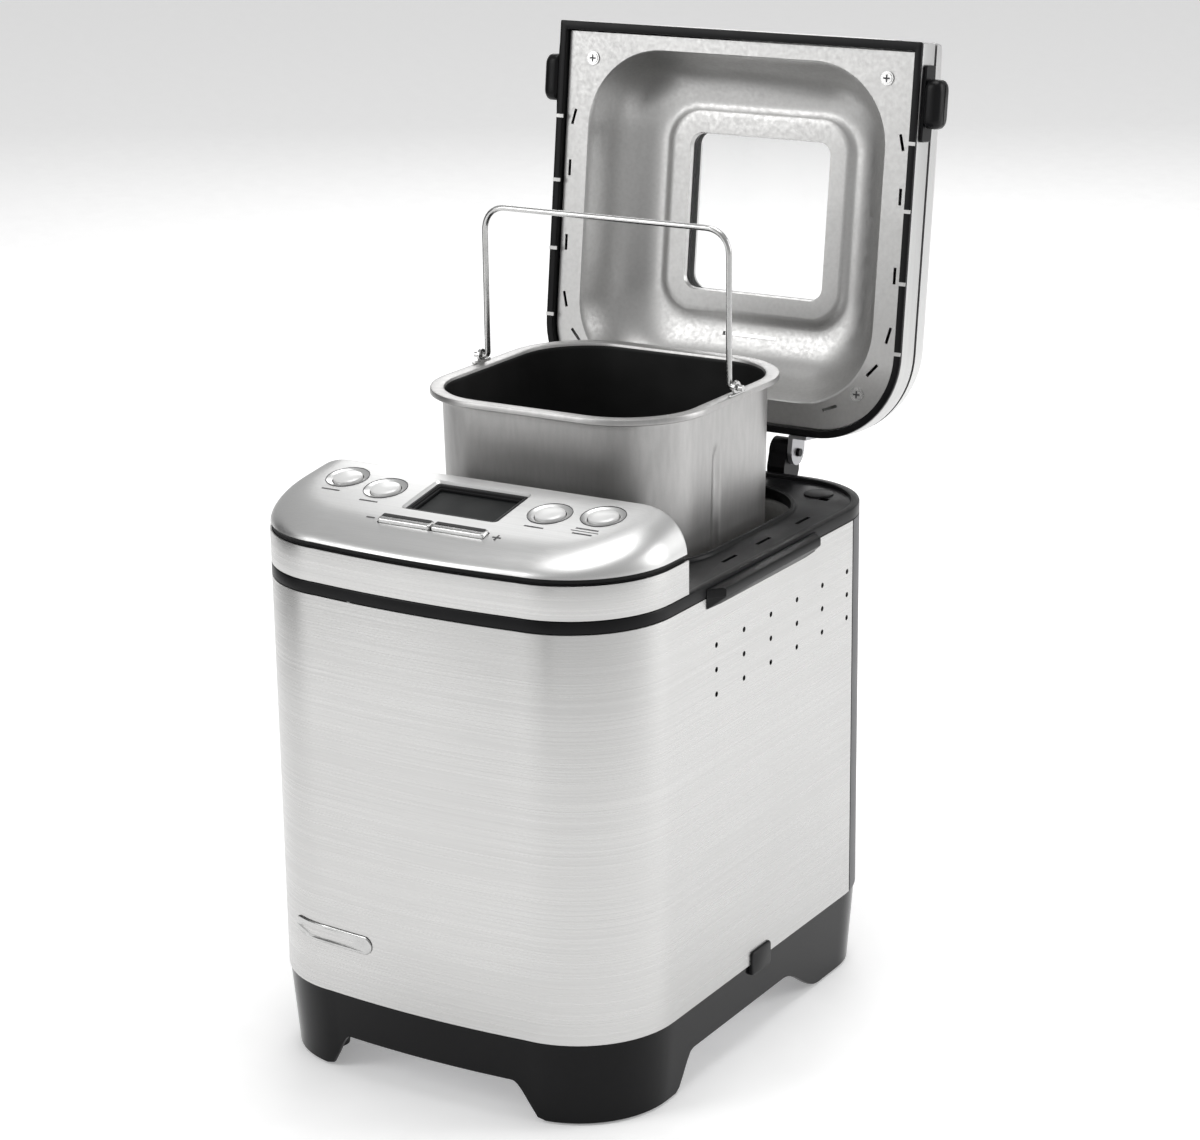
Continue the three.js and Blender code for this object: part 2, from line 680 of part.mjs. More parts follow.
function drivePlate() {
  const plate = box(-95, 95, -135, CHAMBER_Y + 60, PLATE_Z, PLATE_Z + 2.5);
  const leg = (x, y) => post(5, x, y, TRAY_TOP + GAP, PLATE_Z + 1, 12);
  const legs = [-85, 85].flatMap((x) => [leg(x, -120), leg(x, CHAMBER_Y + 50)]);
  return cut(join(plate, ...legs), [
    post(14 + GAP, 0, CHAMBER_Y, 0, 100),
    post(9, MOTOR_X, MOTOR_Y, 0, 100),
  ]);
}

/** Bush that carries the drive shaft from the drive plate up to the chamber floor. */
function bearingHousing() {
  const top = CHAMBER_FLOOR - GAP;
  const bore = SHAFT_RADIUS + 0.4;
  const profile = [
    [bore, PLATE_Z - 4],
    [14, PLATE_Z - 4],
    [14, PLATE_Z + 2.5 + GAP],
    [26, PLATE_Z + 2.5 + GAP],
    [26, PLATE_Z + 6],
    [15, PLATE_Z + 14],
    [15, top - 3],
    [22, top - 3],
    [22, top],
    [bore, top],
    [bore, PLATE_Z - 4],
  ];
  return turned(profile, 20).translate(0, CHAMBER_Y, 0);
}

const COUPLING_Z = CHAMBER_FLOOR + 4;
function driveShaft() {
  const shaft = post(SHAFT_RADIUS, 0, CHAMBER_Y, BELT_Z - 4, COUPLING_Z + 1, 20);
  const hub = post(9, 0, CHAMBER_Y, COUPLING_Z, COUPLING_Z + 5, 20);
  const wing = box(-16, 16, CHAMBER_Y - 2.5, CHAMBER_Y + 2.5, COUPLING_Z + 1, COUPLING_Z + 11);
  return join(shaft, hub, wing);
}

function pulley(radius, bore, sides) {
  const web = radius > 20 ? 3 : radius;
  const profile = [
    [bore, 0],
    [radius + 1.5, 0],
    [radius + 1.5, 1],
    [radius, 1.8],
    [radius, BELT_HEIGHT - 1.8],
    [radius + 1.5, BELT_HEIGHT - 1],
    [radius + 1.5, BELT_HEIGHT],
    ...(web < radius ? [[radius - web, BELT_HEIGHT], [radius - web, 3], [10, 3], [10, BELT_HEIGHT]] : []),
    [bore, BELT_HEIGHT],
    [bore, 0],
  ];
  return turned(profile, sides);
}

/** Flat loop of belt round both pulleys, drawn as it stands. */
function belt() {
  const span = new THREE.Vector2(-MOTOR_X, CHAMBER_Y - MOTOR_Y);
  const lean = Math.asin((DRIVE_PULLEY - MOTOR_PULLEY) / span.length());
  const loop = (extra) => {
    const points = [];
    const arc = (cx, cy, r, from, to, steps) => {
      for (let i = 0; i <= steps; i += 1) {
        const a = from + ((to - from) * i) / steps;
        points.push(new THREE.Vector2(cx + r * Math.cos(a), cy + r * Math.sin(a)));
      }
    };
    const heading = span.angle();
    const open = Math.PI / 2 + lean;
    arc(0, CHAMBER_Y, DRIVE_PULLEY + extra, heading - open, heading + open, 28);
    const close = Math.PI / 2 - lean;
    arc(MOTOR_X, MOTOR_Y, MOTOR_PULLEY + extra, heading + Math.PI - close, heading + Math.PI + close, 10);
    return points;
  };
  const inset = 2.1;
  return tubeWall(loop(GAP + 1.8), loop(GAP + 0.4), BELT_Z + inset, driveTop - inset);
}

function motor() {
  const z0 = PLATE_Z + 2.5 + GAP;
  const profile = [
    [0, z0],
    [30, z0],
    [30, z0 + 3],
    [27, z0 + 3],
    [27, z0 + 70],
    [12, z0 + 73],
    [12, z0 + 77],
    [0, z0 + 77],
  ];
  const can = turned(profile, 24);
  const ears = centred(8, 40, z0, z0 + 2);
  const body = join(can, ears).translate(MOTOR_X, MOTOR_Y, 0);
  return cut(body, [post(SHAFT_RADIUS + GAP, MOTOR_X, MOTOR_Y, 0, z0 + 20, 16)]);
}

addMesh(chassis, 'drive_plate', drivePlate(), greyMetal);
addMesh(chassis, 'bearing_housing', bearingHousing(), greyMetal);
addMesh(chassis, 'drive_shaft', driveShaft(), chrome);
addMesh(
  chassis,
  'drive_pulley',
  pulley(DRIVE_PULLEY, SHAFT_RADIUS + GAP, 30).translate(0, CHAMBER_Y, BELT_Z),
  black,
);
addMesh(chassis, 'motor', motor(), greyMetal);
const motorShaft = post(SHAFT_RADIUS, 0, 0, -2, PLATE_Z + 20 - BELT_Z, 24);
const motorPulley = join(pulley(MOTOR_PULLEY, SHAFT_RADIUS - 1, 24), motorShaft);
addMesh(chassis, 'motor_pulley', motorPulley.translate(MOTOR_X, MOTOR_Y, BELT_Z), chrome);
addMesh(chassis, 'belt', belt(), rubber);

// ---------- hinge ----------
const EYE_RADIUS = 8.5;
const PIN_RADIUS = 2.5;
const BRACKET_X = 40;
const BRACKET_WIDTH = 12;
const LEAF_GAP = 0.6;
const LEAF_THICK = 3;

/** A strap in the YZ plane, from [y, z] pairs, standing between two stations along X. */
function strap(points, x0, x1) {
  const shape = new THREE.Shape(points.map(([y, z]) => new THREE.Vector2(y, z)));
  const geometry = new THREE.ExtrudeGeometry(shape, { depth: x1 - x0, bevelEnabled: false });
  return geometry.rotateY(Math.PI / 2).rotateX(Math.PI / 2).translate(x0, 0, 0);
}

/** Bracket behind the back wall, with the stub pin that the lid's leaf turns on. */
function hingeBracket(sx) {
  const back = BODY_DEPTH / 2 + GAP;
  const inner = BRACKET_X;
  const outer = BRACKET_X + BRACKET_WIDTH;
  const from = sx > 0 ? inner : -outer;
  const column = strap(
    [
      [back, 262],
      [back + 6, 262],
      [HINGE_Y + EYE_RADIUS, 292],
      [HINGE_Y + EYE_RADIUS, HINGE_Z],
      [HINGE_Y - EYE_RADIUS, HINGE_Z],
      [back, HINGE_Z - 8],
    ],
    from,
    from + BRACKET_WIDTH,
  );
  const eye = bar(EYE_RADIUS, from, from + BRACKET_WIDTH, HINGE_Y, HINGE_Z, 28);
  const tip = outer + LEAF_GAP + LEAF_THICK + 2;
  const pin = bar(PIN_RADIUS, sx > 0 ? inner + 2 : -tip, sx > 0 ? tip : -inner - 2, HINGE_Y, HINGE_Z);
  return join(column, eye, pin);
}

function hingeLeaf(sx) {
  const from = BRACKET_X + BRACKET_WIDTH + LEAF_GAP;
  const x0 = sx > 0 ? from : -from - LEAF_THICK;
  const wall = BODY_DEPTH / 2 + GAP;
  const plate = strap(
    [
      [wall, HINGE_Z - 8],
      [HINGE_Y, HINGE_Z - EYE_RADIUS],
      [HINGE_Y, HINGE_Z + EYE_RADIUS],
      [wall, HINGE_Z + 8],
    ],
    x0,
    x0 + LEAF_THICK,
  );
  const foot0 = sx > 0 ? x0 : x0 - 9;
  const foot1 = sx > 0 ? x0 + LEAF_THICK + 9 : x0 + LEAF_THICK;
  const foot = box(foot0, foot1, wall, wall + 2, HINGE_Z - 8, HINGE_Z + 8);
  const eye = bar(EYE_RADIUS - 0.5, x0, x0 + LEAF_THICK, HINGE_Y, HINGE_Z, 28);
  return cut(join(plate, foot, eye), [bar(PIN_RADIUS + GAP, x0 - 5, x0 + LEAF_THICK + 5, HINGE_Y, HINGE_Z)]);
}

for (const [side, sx] of SIDES) {
  addMesh(chassis, `hinge_bracket_${side}`, hingeBracket(sx), black);
  addMesh(lidShut, `hinge_leaf_${side}`, hingeLeaf(sx), greyMetal);
}

// ---------- lid, drawn shut ----------
const linerFront = LID_FRONT + 6.5;
const linerEdge = lidOutline(BODY_WIDTH / 2 - LINER_HALF, linerFront, EASED);
const LINER_INSET = BODY_WIDTH / 2 - LINER_HALF;
const frameBand = { z0: FRAME_BOTTOM + 2, z1: BAND_TOP };

function lidFrame() {
  const lip = 0.2;
  const wall = SHEET + GAP;
  const inner = LINER_INSET - GAP * 3;
  const front = LID_FRONT + 5.5;
  const top = COVER_EDGE - GAP;
  const ledge = LINER_Z + LINER_THICK + GAP;
  return skin(
    [
      ring(lidOutline(lip), FRAME_BOTTOM),
      ring(lidOutline(lip), frameBand.z0 - GAP),
      ring(lidOutline(wall, LID_FRONT + 1), frameBand.z0 - GAP),
      ring(lidOutline(wall, LID_FRONT + 1), top),
      ring(lidOutline(inner, front), top),
      ring(lidOutline(inner, front), ledge + 2),
      ring(lidOutline(inner + 5, front + 5), ledge + 2),
      ring(lidOutline(inner + 5, front + 5), ledge),
      ring(lidOutline(inner, front), ledge),
      ring(lidOutline(inner, front), FRAME_BOTTOM),
    ],
    true,
  );
}

function lidBand() {
  const inside = lidOutline(SHEET, LID_FRONT + SHEET);
  const wall = tubeWall(lidOutline(0), inside, frameBand.z0, frameBand.z1);
  return cut(wall, [box(-BODY_WIDTH, BODY_WIDTH, -FAR, LID_FRONT + 2 * SHEET, 0, FAR)]);
}

const STRIP = { x0: -62, x1: 104 };
/** Bright strip set into the lid's straight front, short of both ends. */
const lidStrip = () =>
  box(STRIP.x0, STRIP.x1, LID_FRONT, LID_FRONT + 1 - GAP, frameBand.z0 + 1, frameBand.z1 - 1);

/** The bowl's levels, from its brim to the flat land round the window: half-width, corner, depth. */
const BOWL_STEPS = [
  [0, 0],
  [0.05, 0.14],
  [0.15, 0.44],
  [0.34, 0.74],
  [0.62, 0.94],
  [1, 1],
];
const LAND_HALF = 62;
const LAND_CORNER = 20;

function linerRings(lift) {
  const mix = THREE.MathUtils.lerp;
  const rings = [ring(linerEdge, LINER_Z + lift)];
  for (const [across, down] of BOWL_STEPS) {
    const half = mix(BOWL_HALF, LAND_HALF, across);
    const corner = mix(BOWL_CORNER, LAND_CORNER, across);
    const y = mix(CHAMBER_Y, WINDOW_Y, across);
    rings.push(ring(square(half, corner, y), LINER_Z + down * BOWL_DEPTH + lift));
  }
  rings.push(ring(square(WINDOW_HALF, WINDOW_CORNER, WINDOW_Y), LINER_Z + BOWL_DEPTH + lift));
  return rings;
}

const LINER_SLOTS = [
  [114.1, -18, 14],
  [115.5, 14, 0],
  [115.4, 61, 0],
  [114, 97, -14],
  [104.8, 119, -42],
  [78, 145, -68],
];
const LID_SCREWS = [
  ['front', 101.9, -55],
  ['back', 96, 134.5],
];

function lidLiner() {
  const plate = skin([...linerRings(LINER_THICK).reverse(), ...linerRings(0)].reverse(), true);
  const steam = box(-19, 19, 110.4, 112.8, 320, 345);
  const tools = [steam];
  for (const [, sx] of SIDES) {
    for (const [x, y, turn] of LINER_SLOTS) {
      const slot = centred(0.9, 5, LINER_Z - 2, LINER_Z + 4);
      tools.push(slot.rotateZ(-sx * radians(turn)).translate(sx * x, y, 0));
    }
    for (const [, x, y] of LID_SCREWS) tools.push(post(2, sx * x, y, LINER_Z - 2, LINER_Z + 4, 12));
  }
  return cut(plate, tools);
}

function lidScrew(x, y) {
  const head = LINER_Z - GAP;
  const profile = [
    [0, head - 1.6],
    [2, head - 1.4],
    [4.2, head],
    [1.6, head],
    [1.6, head + 6],
    [0, head + 7],
  ];
  const screw = turned(profile, 12);
  const crossCut = [0, Math.PI / 2].map((a) => centred(0.5, 2.4, head - 3, head - 0.7).rotateZ(a));
  return cut(screw, crossCut).translate(x, y, 0);
}

function lidCover() {
  const opening = (z) => ring(square(WINDOW_HALF + 1, WINDOW_CORNER + 1, WINDOW_Y), z);
  const outer = pillowRings((inset) => lidOutline(inset, LID_FRONT, EASED), COVER_EDGE, 0, false);
  const front = LID_FRONT + COVER_WALL;
  const inner = pillowRings((inset) => lidOutline(inset, front, EASED), COVER_EDGE, COVER_WALL, true);
  const top = crown(WINDOW_Y);
  const shell = skin([...outer, opening(top), opening(top - COVER_WALL), ...inner.reverse()], true);
  const vents = [];
  for (let i = 0; i < 3; i += 1) {
    vents.push(box(-24, 24, 112 + i * 7, 114.4 + i * 7, 320, 380));
  }
  return cut(shell, vents);
}

const PANE_LAP = 5; // how far each pane reaches past the opening
const windowTop = crown(WINDOW_Y - WINDOW_HALF - PANE_LAP) - COVER_WALL - GAP;
const landTop = LINER_Z + BOWL_DEPTH + LINER_THICK + GAP;
const PANE = 2;
function windowFrame() {
  const side = (extra) => square(WINDOW_HALF + extra, WINDOW_CORNER + extra, WINDOW_Y);
  return tubeWall(side(PANE_LAP), side(1), landTop + PANE + GAP, windowTop - PANE - GAP);
}
const paneOutline = square(WINDOW_HALF + PANE_LAP, WINDOW_CORNER + PANE_LAP, WINDOW_Y);
const pane = (z) => slab(paneOutline, z, z + PANE);

function lidGrip(sx) {
  const knob = (inset) =>
    outline({ halfX: 14.5 - inset, front: -7.5 + inset, back: 7.5 - inset, frontR: 5 });
  const plate = outline({ halfX: 22.5, front: -6.5, back: 6.5, frontR: 2 });
  const wall = BODY_WIDTH / 2 + GAP;
  const body = skin([
    ring(plate, wall),
    ring(plate, wall + 2),
    ring(knob(1), wall + 2),
    ring(knob(0), wall + 4),
    ring(knob(0), wall + 9),
    ring(knob(2.5), wall + 12),
  ]);
  body.rotateZ(Math.PI / 2).rotateY((sx * Math.PI) / 2);
  return body.translate(0, -41.5, (frameBand.z0 + frameBand.z1) / 2);
}

addMesh(lidShut, 'lid_frame', lidFrame(), black);
addMesh(lidShut, 'lid_band', lidBand(), steel);
addMesh(lidShut, 'lid_front_strip', lidStrip(), steel);
addMesh(lidShut, 'lid_liner', lidLiner(), linerSteel);
addMesh(lidShut, 'lid_cover', lidCover(), satin);
addMesh(lidShut, 'window_frame', windowFrame(), black);
addMesh(lidShut, 'window_inner', pane(landTop), glass);
addMesh(lidShut, 'window_outer', pane(windowTop - PANE), glass);
for (const [side, sx] of SIDES) {
  addMesh(lidShut, `lid_grip_${side}`, lidGrip(sx), black);
  for (const [end, x, y] of LID_SCREWS) {
    addMesh(lidShut, `lid_screw_${end}_${side}`, lidScrew(sx * x, y), chrome);
  }
}

// ---------- kneading pan, drawn on its seat ----------
const panBottom = PAN_RIM_Z - PAN_DEPTH;
const seatTop = CHAMBER_FLOOR + 0.9 + GAP + 1.5;

function panBody() {
  const wall = (out) => square(PAN_HALF + out, PAN_CORNER + out);
  const low = -PAN_TAPER;
  const t = PAN_WALL;
  const rim = PAN_FLANGE;
  const hollow = skin([
    ring(wall(low - 9), panBottom),
    ring(wall(low - 2.6), panBottom + 2.6),
    ring(wall(low), panBottom + 9),
    ring(wall(0), PAN_RIM_Z - t),
    ring(wall(rim - t), PAN_RIM_Z - t),
    ring(wall(rim - t), PAN_RIM_Z - 3.4),
    ring(wall(rim), PAN_RIM_Z - 3.4),
    ring(wall(rim), PAN_RIM_Z),
    ring(wall(-t), PAN_RIM_Z),
    ring(wall(low - t), panBottom + 9),
    ring(wall(low - 2.6 - t), panBottom + 2.6 + t),
    ring(wall(low - 9 - t), panBottom + t),
  ]);
  const rib = (radius, sx) => {
    const rod = post(radius, sx * PAN_HALF, CHAMBER_Y - 12, panBottom + 14, PAN_RIM_Z - 30, 12);
    return join(rod, ball(radius, sx * PAN_HALF, CHAMBER_Y - 12, PAN_RIM_Z - 30));
  };
  const ribbed = join(hollow, keep(rib(4.6, 1), box(0, PAN_HALF - 1.8, -FAR, FAR, 0, FAR)));
  const both = join(ribbed, keep(rib(4.6, -1), box(-PAN_HALF + 1.8, 0, -FAR, FAR, 0, FAR)));
  return cut(both, [rib(3, 1), rib(3, -1), post(SHAFT_RADIUS + 0.4, 0, CHAMBER_Y, 0, 200)]);
}

function ball(radius, x, y, z) {
  return new THREE.SphereGeometry(radius, 12, 6).translate(x, y, z);
}

/** Cast foot under the pan: it drops into the seat and carries the paddle's shaft. */
function panFoot() {
  const top = panBottom - GAP;
  const r = SEAT_RADIUS - 0.8;
  const profile = [
    [r - 3, seatTop + GAP],
    [r, seatTop + GAP],
    [r, seatTop + 18],
    [r + 4, seatTop + 21],
    [r + 4, top],
    [SHAFT_RADIUS + 0.4, top],
    [SHAFT_RADIUS + 0.4, top - 12],
    [12, top - 12],
    [12, top - 3],
    [r - 3, top - 3],
    [r - 3, seatTop + GAP],
  ];
  return turned(profile, 28).translate(0, CHAMBER_Y, 0);
}

const dogTop = COUPLING_Z + 14;
function panShaft() {
  const shaft = post(SHAFT_RADIUS, 0, CHAMBER_Y, dogTop - 1, panBottom + 20, 20);
  const disc = post(15, 0, CHAMBER_Y, dogTop - 2.5, dogTop, 24);
  const prongs = [-1, 1].map((side) => {
    const y = CHAMBER_Y + side * 5;
    return box(-12, 12, y - 1.5, y + 1.5, COUPLING_Z + 6, dogTop - 1);
  });
  return join(shaft, disc, ...prongs);
}

function paddle() {
  const z0 = panBottom + PAN_WALL + 1;
  const profile = [
    [0, z0],
    [12, z0],
    [10.5, z0 + 6],
    [7.5, z0 + 20],
    [6, z0 + 23],
    [0, z0 + 23.5],
  ];
  const hub = turned(profile, 24);
  const shape = new THREE.Shape();
  shape.moveTo(0, 0);
  shape.lineTo(42, 0);
  shape.quadraticCurveTo(46, 8, 38, 15);
  shape.quadraticCurveTo(24, 22, 0, 21);
  const blade = new THREE.ExtrudeGeometry(shape, { depth: 4, bevelEnabled: false, curveSegments: 5 });
  blade.rotateX(Math.PI / 2).translate(0, 2, z0);
  const bore = post(SHAFT_RADIUS + GAP, 0, 0, z0 - 2, panBottom + 20 + GAP, 20);
  return cut(join(hub, blade), [bore]).translate(0, CHAMBER_Y, 0);
}

const pivotZ = PAN_RIM_Z + PIVOT_ABOVE_RIM;
function bailHandle() {
  const x = BAIL_HALF;
  const end = CLIP_X + 4.5;
  const corners = [
    [-end, 0],
    [-x, 0],
    [-x, BAIL_HEIGHT],
    [x, BAIL_HEIGHT],
    [x, 0],
    [end, 0],
  ].map(([px, pz]) => new THREE.Vector3(px, CHAMBER_Y, pivotZ + pz));
  return wire(bentPath(corners, [0, 2.6, BAIL_BEND, BAIL_BEND, 2.6]), WIRE, 56, 8);
}

function bailClip(sx) {
  const z0 = PAN_RIM_Z + GAP;
  const y = CHAMBER_Y;
  const foot = box(CLIP_X - 1, PAN_HALF + PAN_FLANGE, y - 9, y + 9, z0, z0 + 1);
  const r = PIVOT_ABOVE_RIM - GAP;
  const ear = box(CLIP_X - 0.8, CLIP_X + 0.8, y - r, y + r, z0, pivotZ);
  const round = bar(r, CLIP_X - 0.8, CLIP_X + 0.8, y, pivotZ, 20);
  const clip = cut(join(foot, ear, round), [bar(WIRE + GAP, CLIP_X - 5, CLIP_X + 5, y, pivotZ)]);
  return sx > 0 ? clip : clip.translate(0, -y, 0).rotateZ(Math.PI).translate(0, y, 0);
}

addMesh(pan, 'pan_body', panBody(), panGrey);
addMesh(pan, 'pan_foot', panFoot(), greyMetal);
addMesh(pan, 'pan_shaft', panShaft(), chrome);
addMesh(pan, 'paddle', paddle(), panGrey);
addMesh(pan, 'bail_handle', bailHandle(), chrome);
for (const [side, sx] of SIDES) addMesh(pan, `bail_clip_${side}`, bailClip(sx), chrome);

// ---------- the whole machine, origin on the table under the middle of its box ----------
const machine = new THREE.Group();
machine.add(chassis, lid, pan);
machine.updateMatrixWorld(true);
const extent = new THREE.Box3().setFromObject(machine, true);
const middle = extent.getCenter(new THREE.Vector3());
machine.position.set(-middle.x, -middle.y, -extent.min.z);

export default machine;
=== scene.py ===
"""Counter-top bread machine with its lid open and its kneading pan half lifted out.

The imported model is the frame. Each class below builds and dresses one sub-assembly of it.
Shapes are drawn in millimetres with the machine shut, its middle at x = 0, y = 0 and the table at
z = 0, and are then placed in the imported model's own frame, in metres.
"""

import json
import logging
import math
from dataclasses import dataclass, field
from enum import Enum
from typing import Callable, Iterable, Optional, Sequence, Union

import bmesh
import bpy
from mathutils import Matrix, Vector

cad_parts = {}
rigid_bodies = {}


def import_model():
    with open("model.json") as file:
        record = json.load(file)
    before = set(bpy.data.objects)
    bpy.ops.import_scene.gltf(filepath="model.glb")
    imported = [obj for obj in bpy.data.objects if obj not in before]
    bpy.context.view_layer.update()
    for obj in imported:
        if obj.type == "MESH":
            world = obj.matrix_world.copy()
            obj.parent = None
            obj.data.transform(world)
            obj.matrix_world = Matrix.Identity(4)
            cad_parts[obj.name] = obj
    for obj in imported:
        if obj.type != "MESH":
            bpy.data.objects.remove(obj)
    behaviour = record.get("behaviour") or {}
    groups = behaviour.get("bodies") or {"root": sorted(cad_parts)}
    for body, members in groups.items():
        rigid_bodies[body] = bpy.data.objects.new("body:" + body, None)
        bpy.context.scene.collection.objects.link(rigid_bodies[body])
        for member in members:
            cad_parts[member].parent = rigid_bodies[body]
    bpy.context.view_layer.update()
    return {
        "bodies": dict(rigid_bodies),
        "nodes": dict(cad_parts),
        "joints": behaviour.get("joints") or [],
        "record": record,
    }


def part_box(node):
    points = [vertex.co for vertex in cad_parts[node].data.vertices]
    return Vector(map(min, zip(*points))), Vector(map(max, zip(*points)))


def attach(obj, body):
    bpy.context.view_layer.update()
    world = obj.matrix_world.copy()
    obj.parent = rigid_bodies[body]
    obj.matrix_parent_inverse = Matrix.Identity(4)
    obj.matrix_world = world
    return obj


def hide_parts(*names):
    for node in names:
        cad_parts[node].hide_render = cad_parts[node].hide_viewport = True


MM = 0.001
SAME_POINT = 1e-6
log = logging.getLogger("bread_machine")

Point = tuple[float, float]
Colour = tuple[float, float, float]
Rings = list[list[Vector]]

CORNER_STEPS = 18
BODY_RUNS = 12
PANEL_RUNS = 40
LID_RUNS = 16
EVEN = (1, 1, 1)
SIDES = (("left", -1), ("right", 1))


# ---------------------------------------------------------------- shared sizes


@dataclass(frozen=True)
class Sizes:
    """Sizes that more than one sub-assembly shares, in millimetres."""

    width: float = 250.0
    depth: float = 328.0
    front_corner: float = 60.0
    back_corner: float = 55.0
    front_bow: float = 3.3
    sheet: float = 1.0
    gap: float = 0.3
    skirt_top: float = 50.2
    wrap_top: float = 286.6
    deck_floor: float = 291.5
    deck_top: float = 294.0
    band_top: float = 313.4
    cover_edge: float = 317.0
    control_back: float = -78.8
    crown_top: float = 352.0
    crown_y: float = 64.0
    crown_curve: float = 0.00054
    pillow: float = 27.0
    edge_inset: float = 0.4
    chamber_y: float = 41.0
    mouth_half: float = 93.5
    mouth_corner: float = 52.0
    lid_front: float = -77.5
    seam_y: float = 114.0

    def crown(self, y: float) -> float:
        """Height of the crowned top at depth y."""
        return self.crown_top - self.crown_curve * (y - self.crown_y) ** 2

    def slope(self, y: float) -> float:
        """Angle of the crowned top at depth y, in radians."""
        return math.atan(-2 * self.crown_curve * (y - self.crown_y))

    def pillow_height(self, distance: float, y: float) -> float:
        """Height of a pillow-shaped cover.

        Args:
            distance: how far the point lies inside the cover's edge.
            y: its depth.

        Returns:
            The height of the cover's outer face.
        """
        share = min(max(distance / self.pillow, 0.0), 1.0)
        lift = (1 - (1 - share) ** 2.4) ** 0.55
        return self.cover_edge + (self.crown(y) - self.cover_edge) * lift


SIZE = Sizes()


def lerp(a: float, b: float, t: float) -> float:
    """Value at share t of the way from a to b."""
    return a + (b - a) * t


def smooth(low: float, high: float, value: float) -> float:
    """Smooth step from 0 at low to 1 at high."""
    t = min(max((value - low) / (high - low), 0.0), 1.0)
    return t * t * (3 - 2 * t)


# ---------------------------------------------------------------- outlines and sections


def outline(
    half_x: float,
    front: float,
    back: float,
    front_r: float,
    back_r: float,
    bow: float = 0.0,
    steps: int = 14,
    runs: int = 10,
) -> list[Point]:
    """Rectangle with round corners, anticlockwise from the back of its right side.

    Args:
        half_x: half of its width.
        front: y of its front edge.
        back: y of its back edge.
        front_r: radius of the front corners.
        back_r: radius of the back corners.
        bow: how far the front edge bulges forward at its middle.
        steps: straight steps in each corner.
        runs: straight steps in each side.

    Returns:
        The points, always 4 * (steps + runs) of them.
    """
    points: list[Point] = []

    def corner(cx: float, cy: float, r: float, start: float) -> None:
        """Adds a quarter turn."""
        for i in range(steps + 1):
            a = start + math.pi / 2 * i / steps
            points.append((cx + r * math.cos(a), cy + r * math.sin(a)))

    def run(end: Point, rise: float = 0.0) -> None:
        """Adds the inner points of a straight side that ends just before a corner."""
        x0, y0 = points[-1]
        for i in range(1, runs):
            t = i / runs
            y = lerp(y0, end[1], t) - rise * (1 - (2 * t - 1) ** 2)
            points.append((lerp(x0, end[0], t), y))

    corner(half_x - back_r, back - back_r, back_r, 0.0)
    run((-half_x + back_r, back))
    corner(-half_x + back_r, back - back_r, back_r, math.pi / 2)
    run((-half_x, front + front_r))
    corner(-half_x + front_r, front + front_r, front_r, math.pi)
    run((half_x - front_r, front), bow)
    corner(half_x - front_r, front + front_r, front_r, 1.5 * math.pi)
    run((half_x, back - back_r))
    return points


def square(half: float, corner: float, y: float, steps: int = 14, runs: int = 10) -> list[Point]:
    """Square outline with round corners, centred at x = 0 and depth y."""
    return outline(half, y - half, y + half, corner, corner, steps=steps, runs=runs)


def body_outline(inset: float, runs: int = BODY_RUNS) -> list[Point]:
    """Outline of the case, drawn in by inset."""
    return outline(
        SIZE.width / 2 - inset,
        -SIZE.depth / 2 + SIZE.front_bow + inset,
        SIZE.depth / 2 - inset,
        SIZE.front_corner - inset,
        SIZE.back_corner - inset,
        SIZE.front_bow,
        steps=CORNER_STEPS,
        runs=runs,
    )


def control_outline(inset: float, shift: float = 0.0) -> list[Point]:
    """Outline of the control section, whose straight back stands shift further forward."""
    return outline(
        SIZE.width / 2 - inset,
        -SIZE.depth / 2 + SIZE.front_bow + inset,
        SIZE.control_back - shift,
        SIZE.front_corner - inset,
        2.0,
        SIZE.front_bow,
        steps=CORNER_STEPS,
        runs=PANEL_RUNS,
    )


def lid_outline(inset: float, shift: float = 0.0) -> list[Point]:
    """Outline of the lid, whose straight front stands shift further back."""
    return outline(
        SIZE.width / 2 - inset,
        SIZE.lid_front + shift,
        SIZE.depth / 2 - inset,
        1.0,
        SIZE.back_corner - inset,
        steps=CORNER_STEPS,
        runs=LID_RUNS,
    )


def soften(section: Sequence[Sequence[float]], radius: float, steps: int = 3) -> list[Vector]:
    """Rounds every corner of a closed section.

    Args:
        section: corners as (inset, shift, height), outer wall first, going up.
        radius: length taken off each edge at a corner, at most 0.45 of that edge.
        steps: straight steps in each rounded corner.

    Returns:
        The finer section.
    """
    corners = [Vector(p) for p in section]
    result: list[Vector] = []
    for i, p in enumerate(corners):
        before = corners[i - 1] - p
        after = corners[(i + 1) % len(corners)] - p
        r = min(radius, 0.45 * before.length, 0.45 * after.length)
        a = p + before.normalized() * r
        b = p + after.normalized() * r
        for k in range(steps + 1):
            t = k / steps
            result.append(a * (1 - t) ** 2 + p * (2 * t * (1 - t)) + b * t * t)
    return result


def sheet_wall(low: float, top: float, ease: float) -> list[Vector]:
    """Section of an upright sheet whose edges are eased."""
    t = SIZE.sheet
    return soften([(0, 0, low), (0, 0, top), (t, 0, top), (t, 0, low)], ease)


def ring(points: Iterable[Point], z: float) -> list[Vector]:
    """A level ring of points at height z."""
    return [Vector((x, y, z)) for x, y in points]


def sweep(path: Callable[[float, float], list[Point]], section: Iterable[Vector]) -> Rings:
    """Carries a section of (inset, shift, height) round an outline."""
    return [ring(path(p.x, p.y), p.z) for p in section]


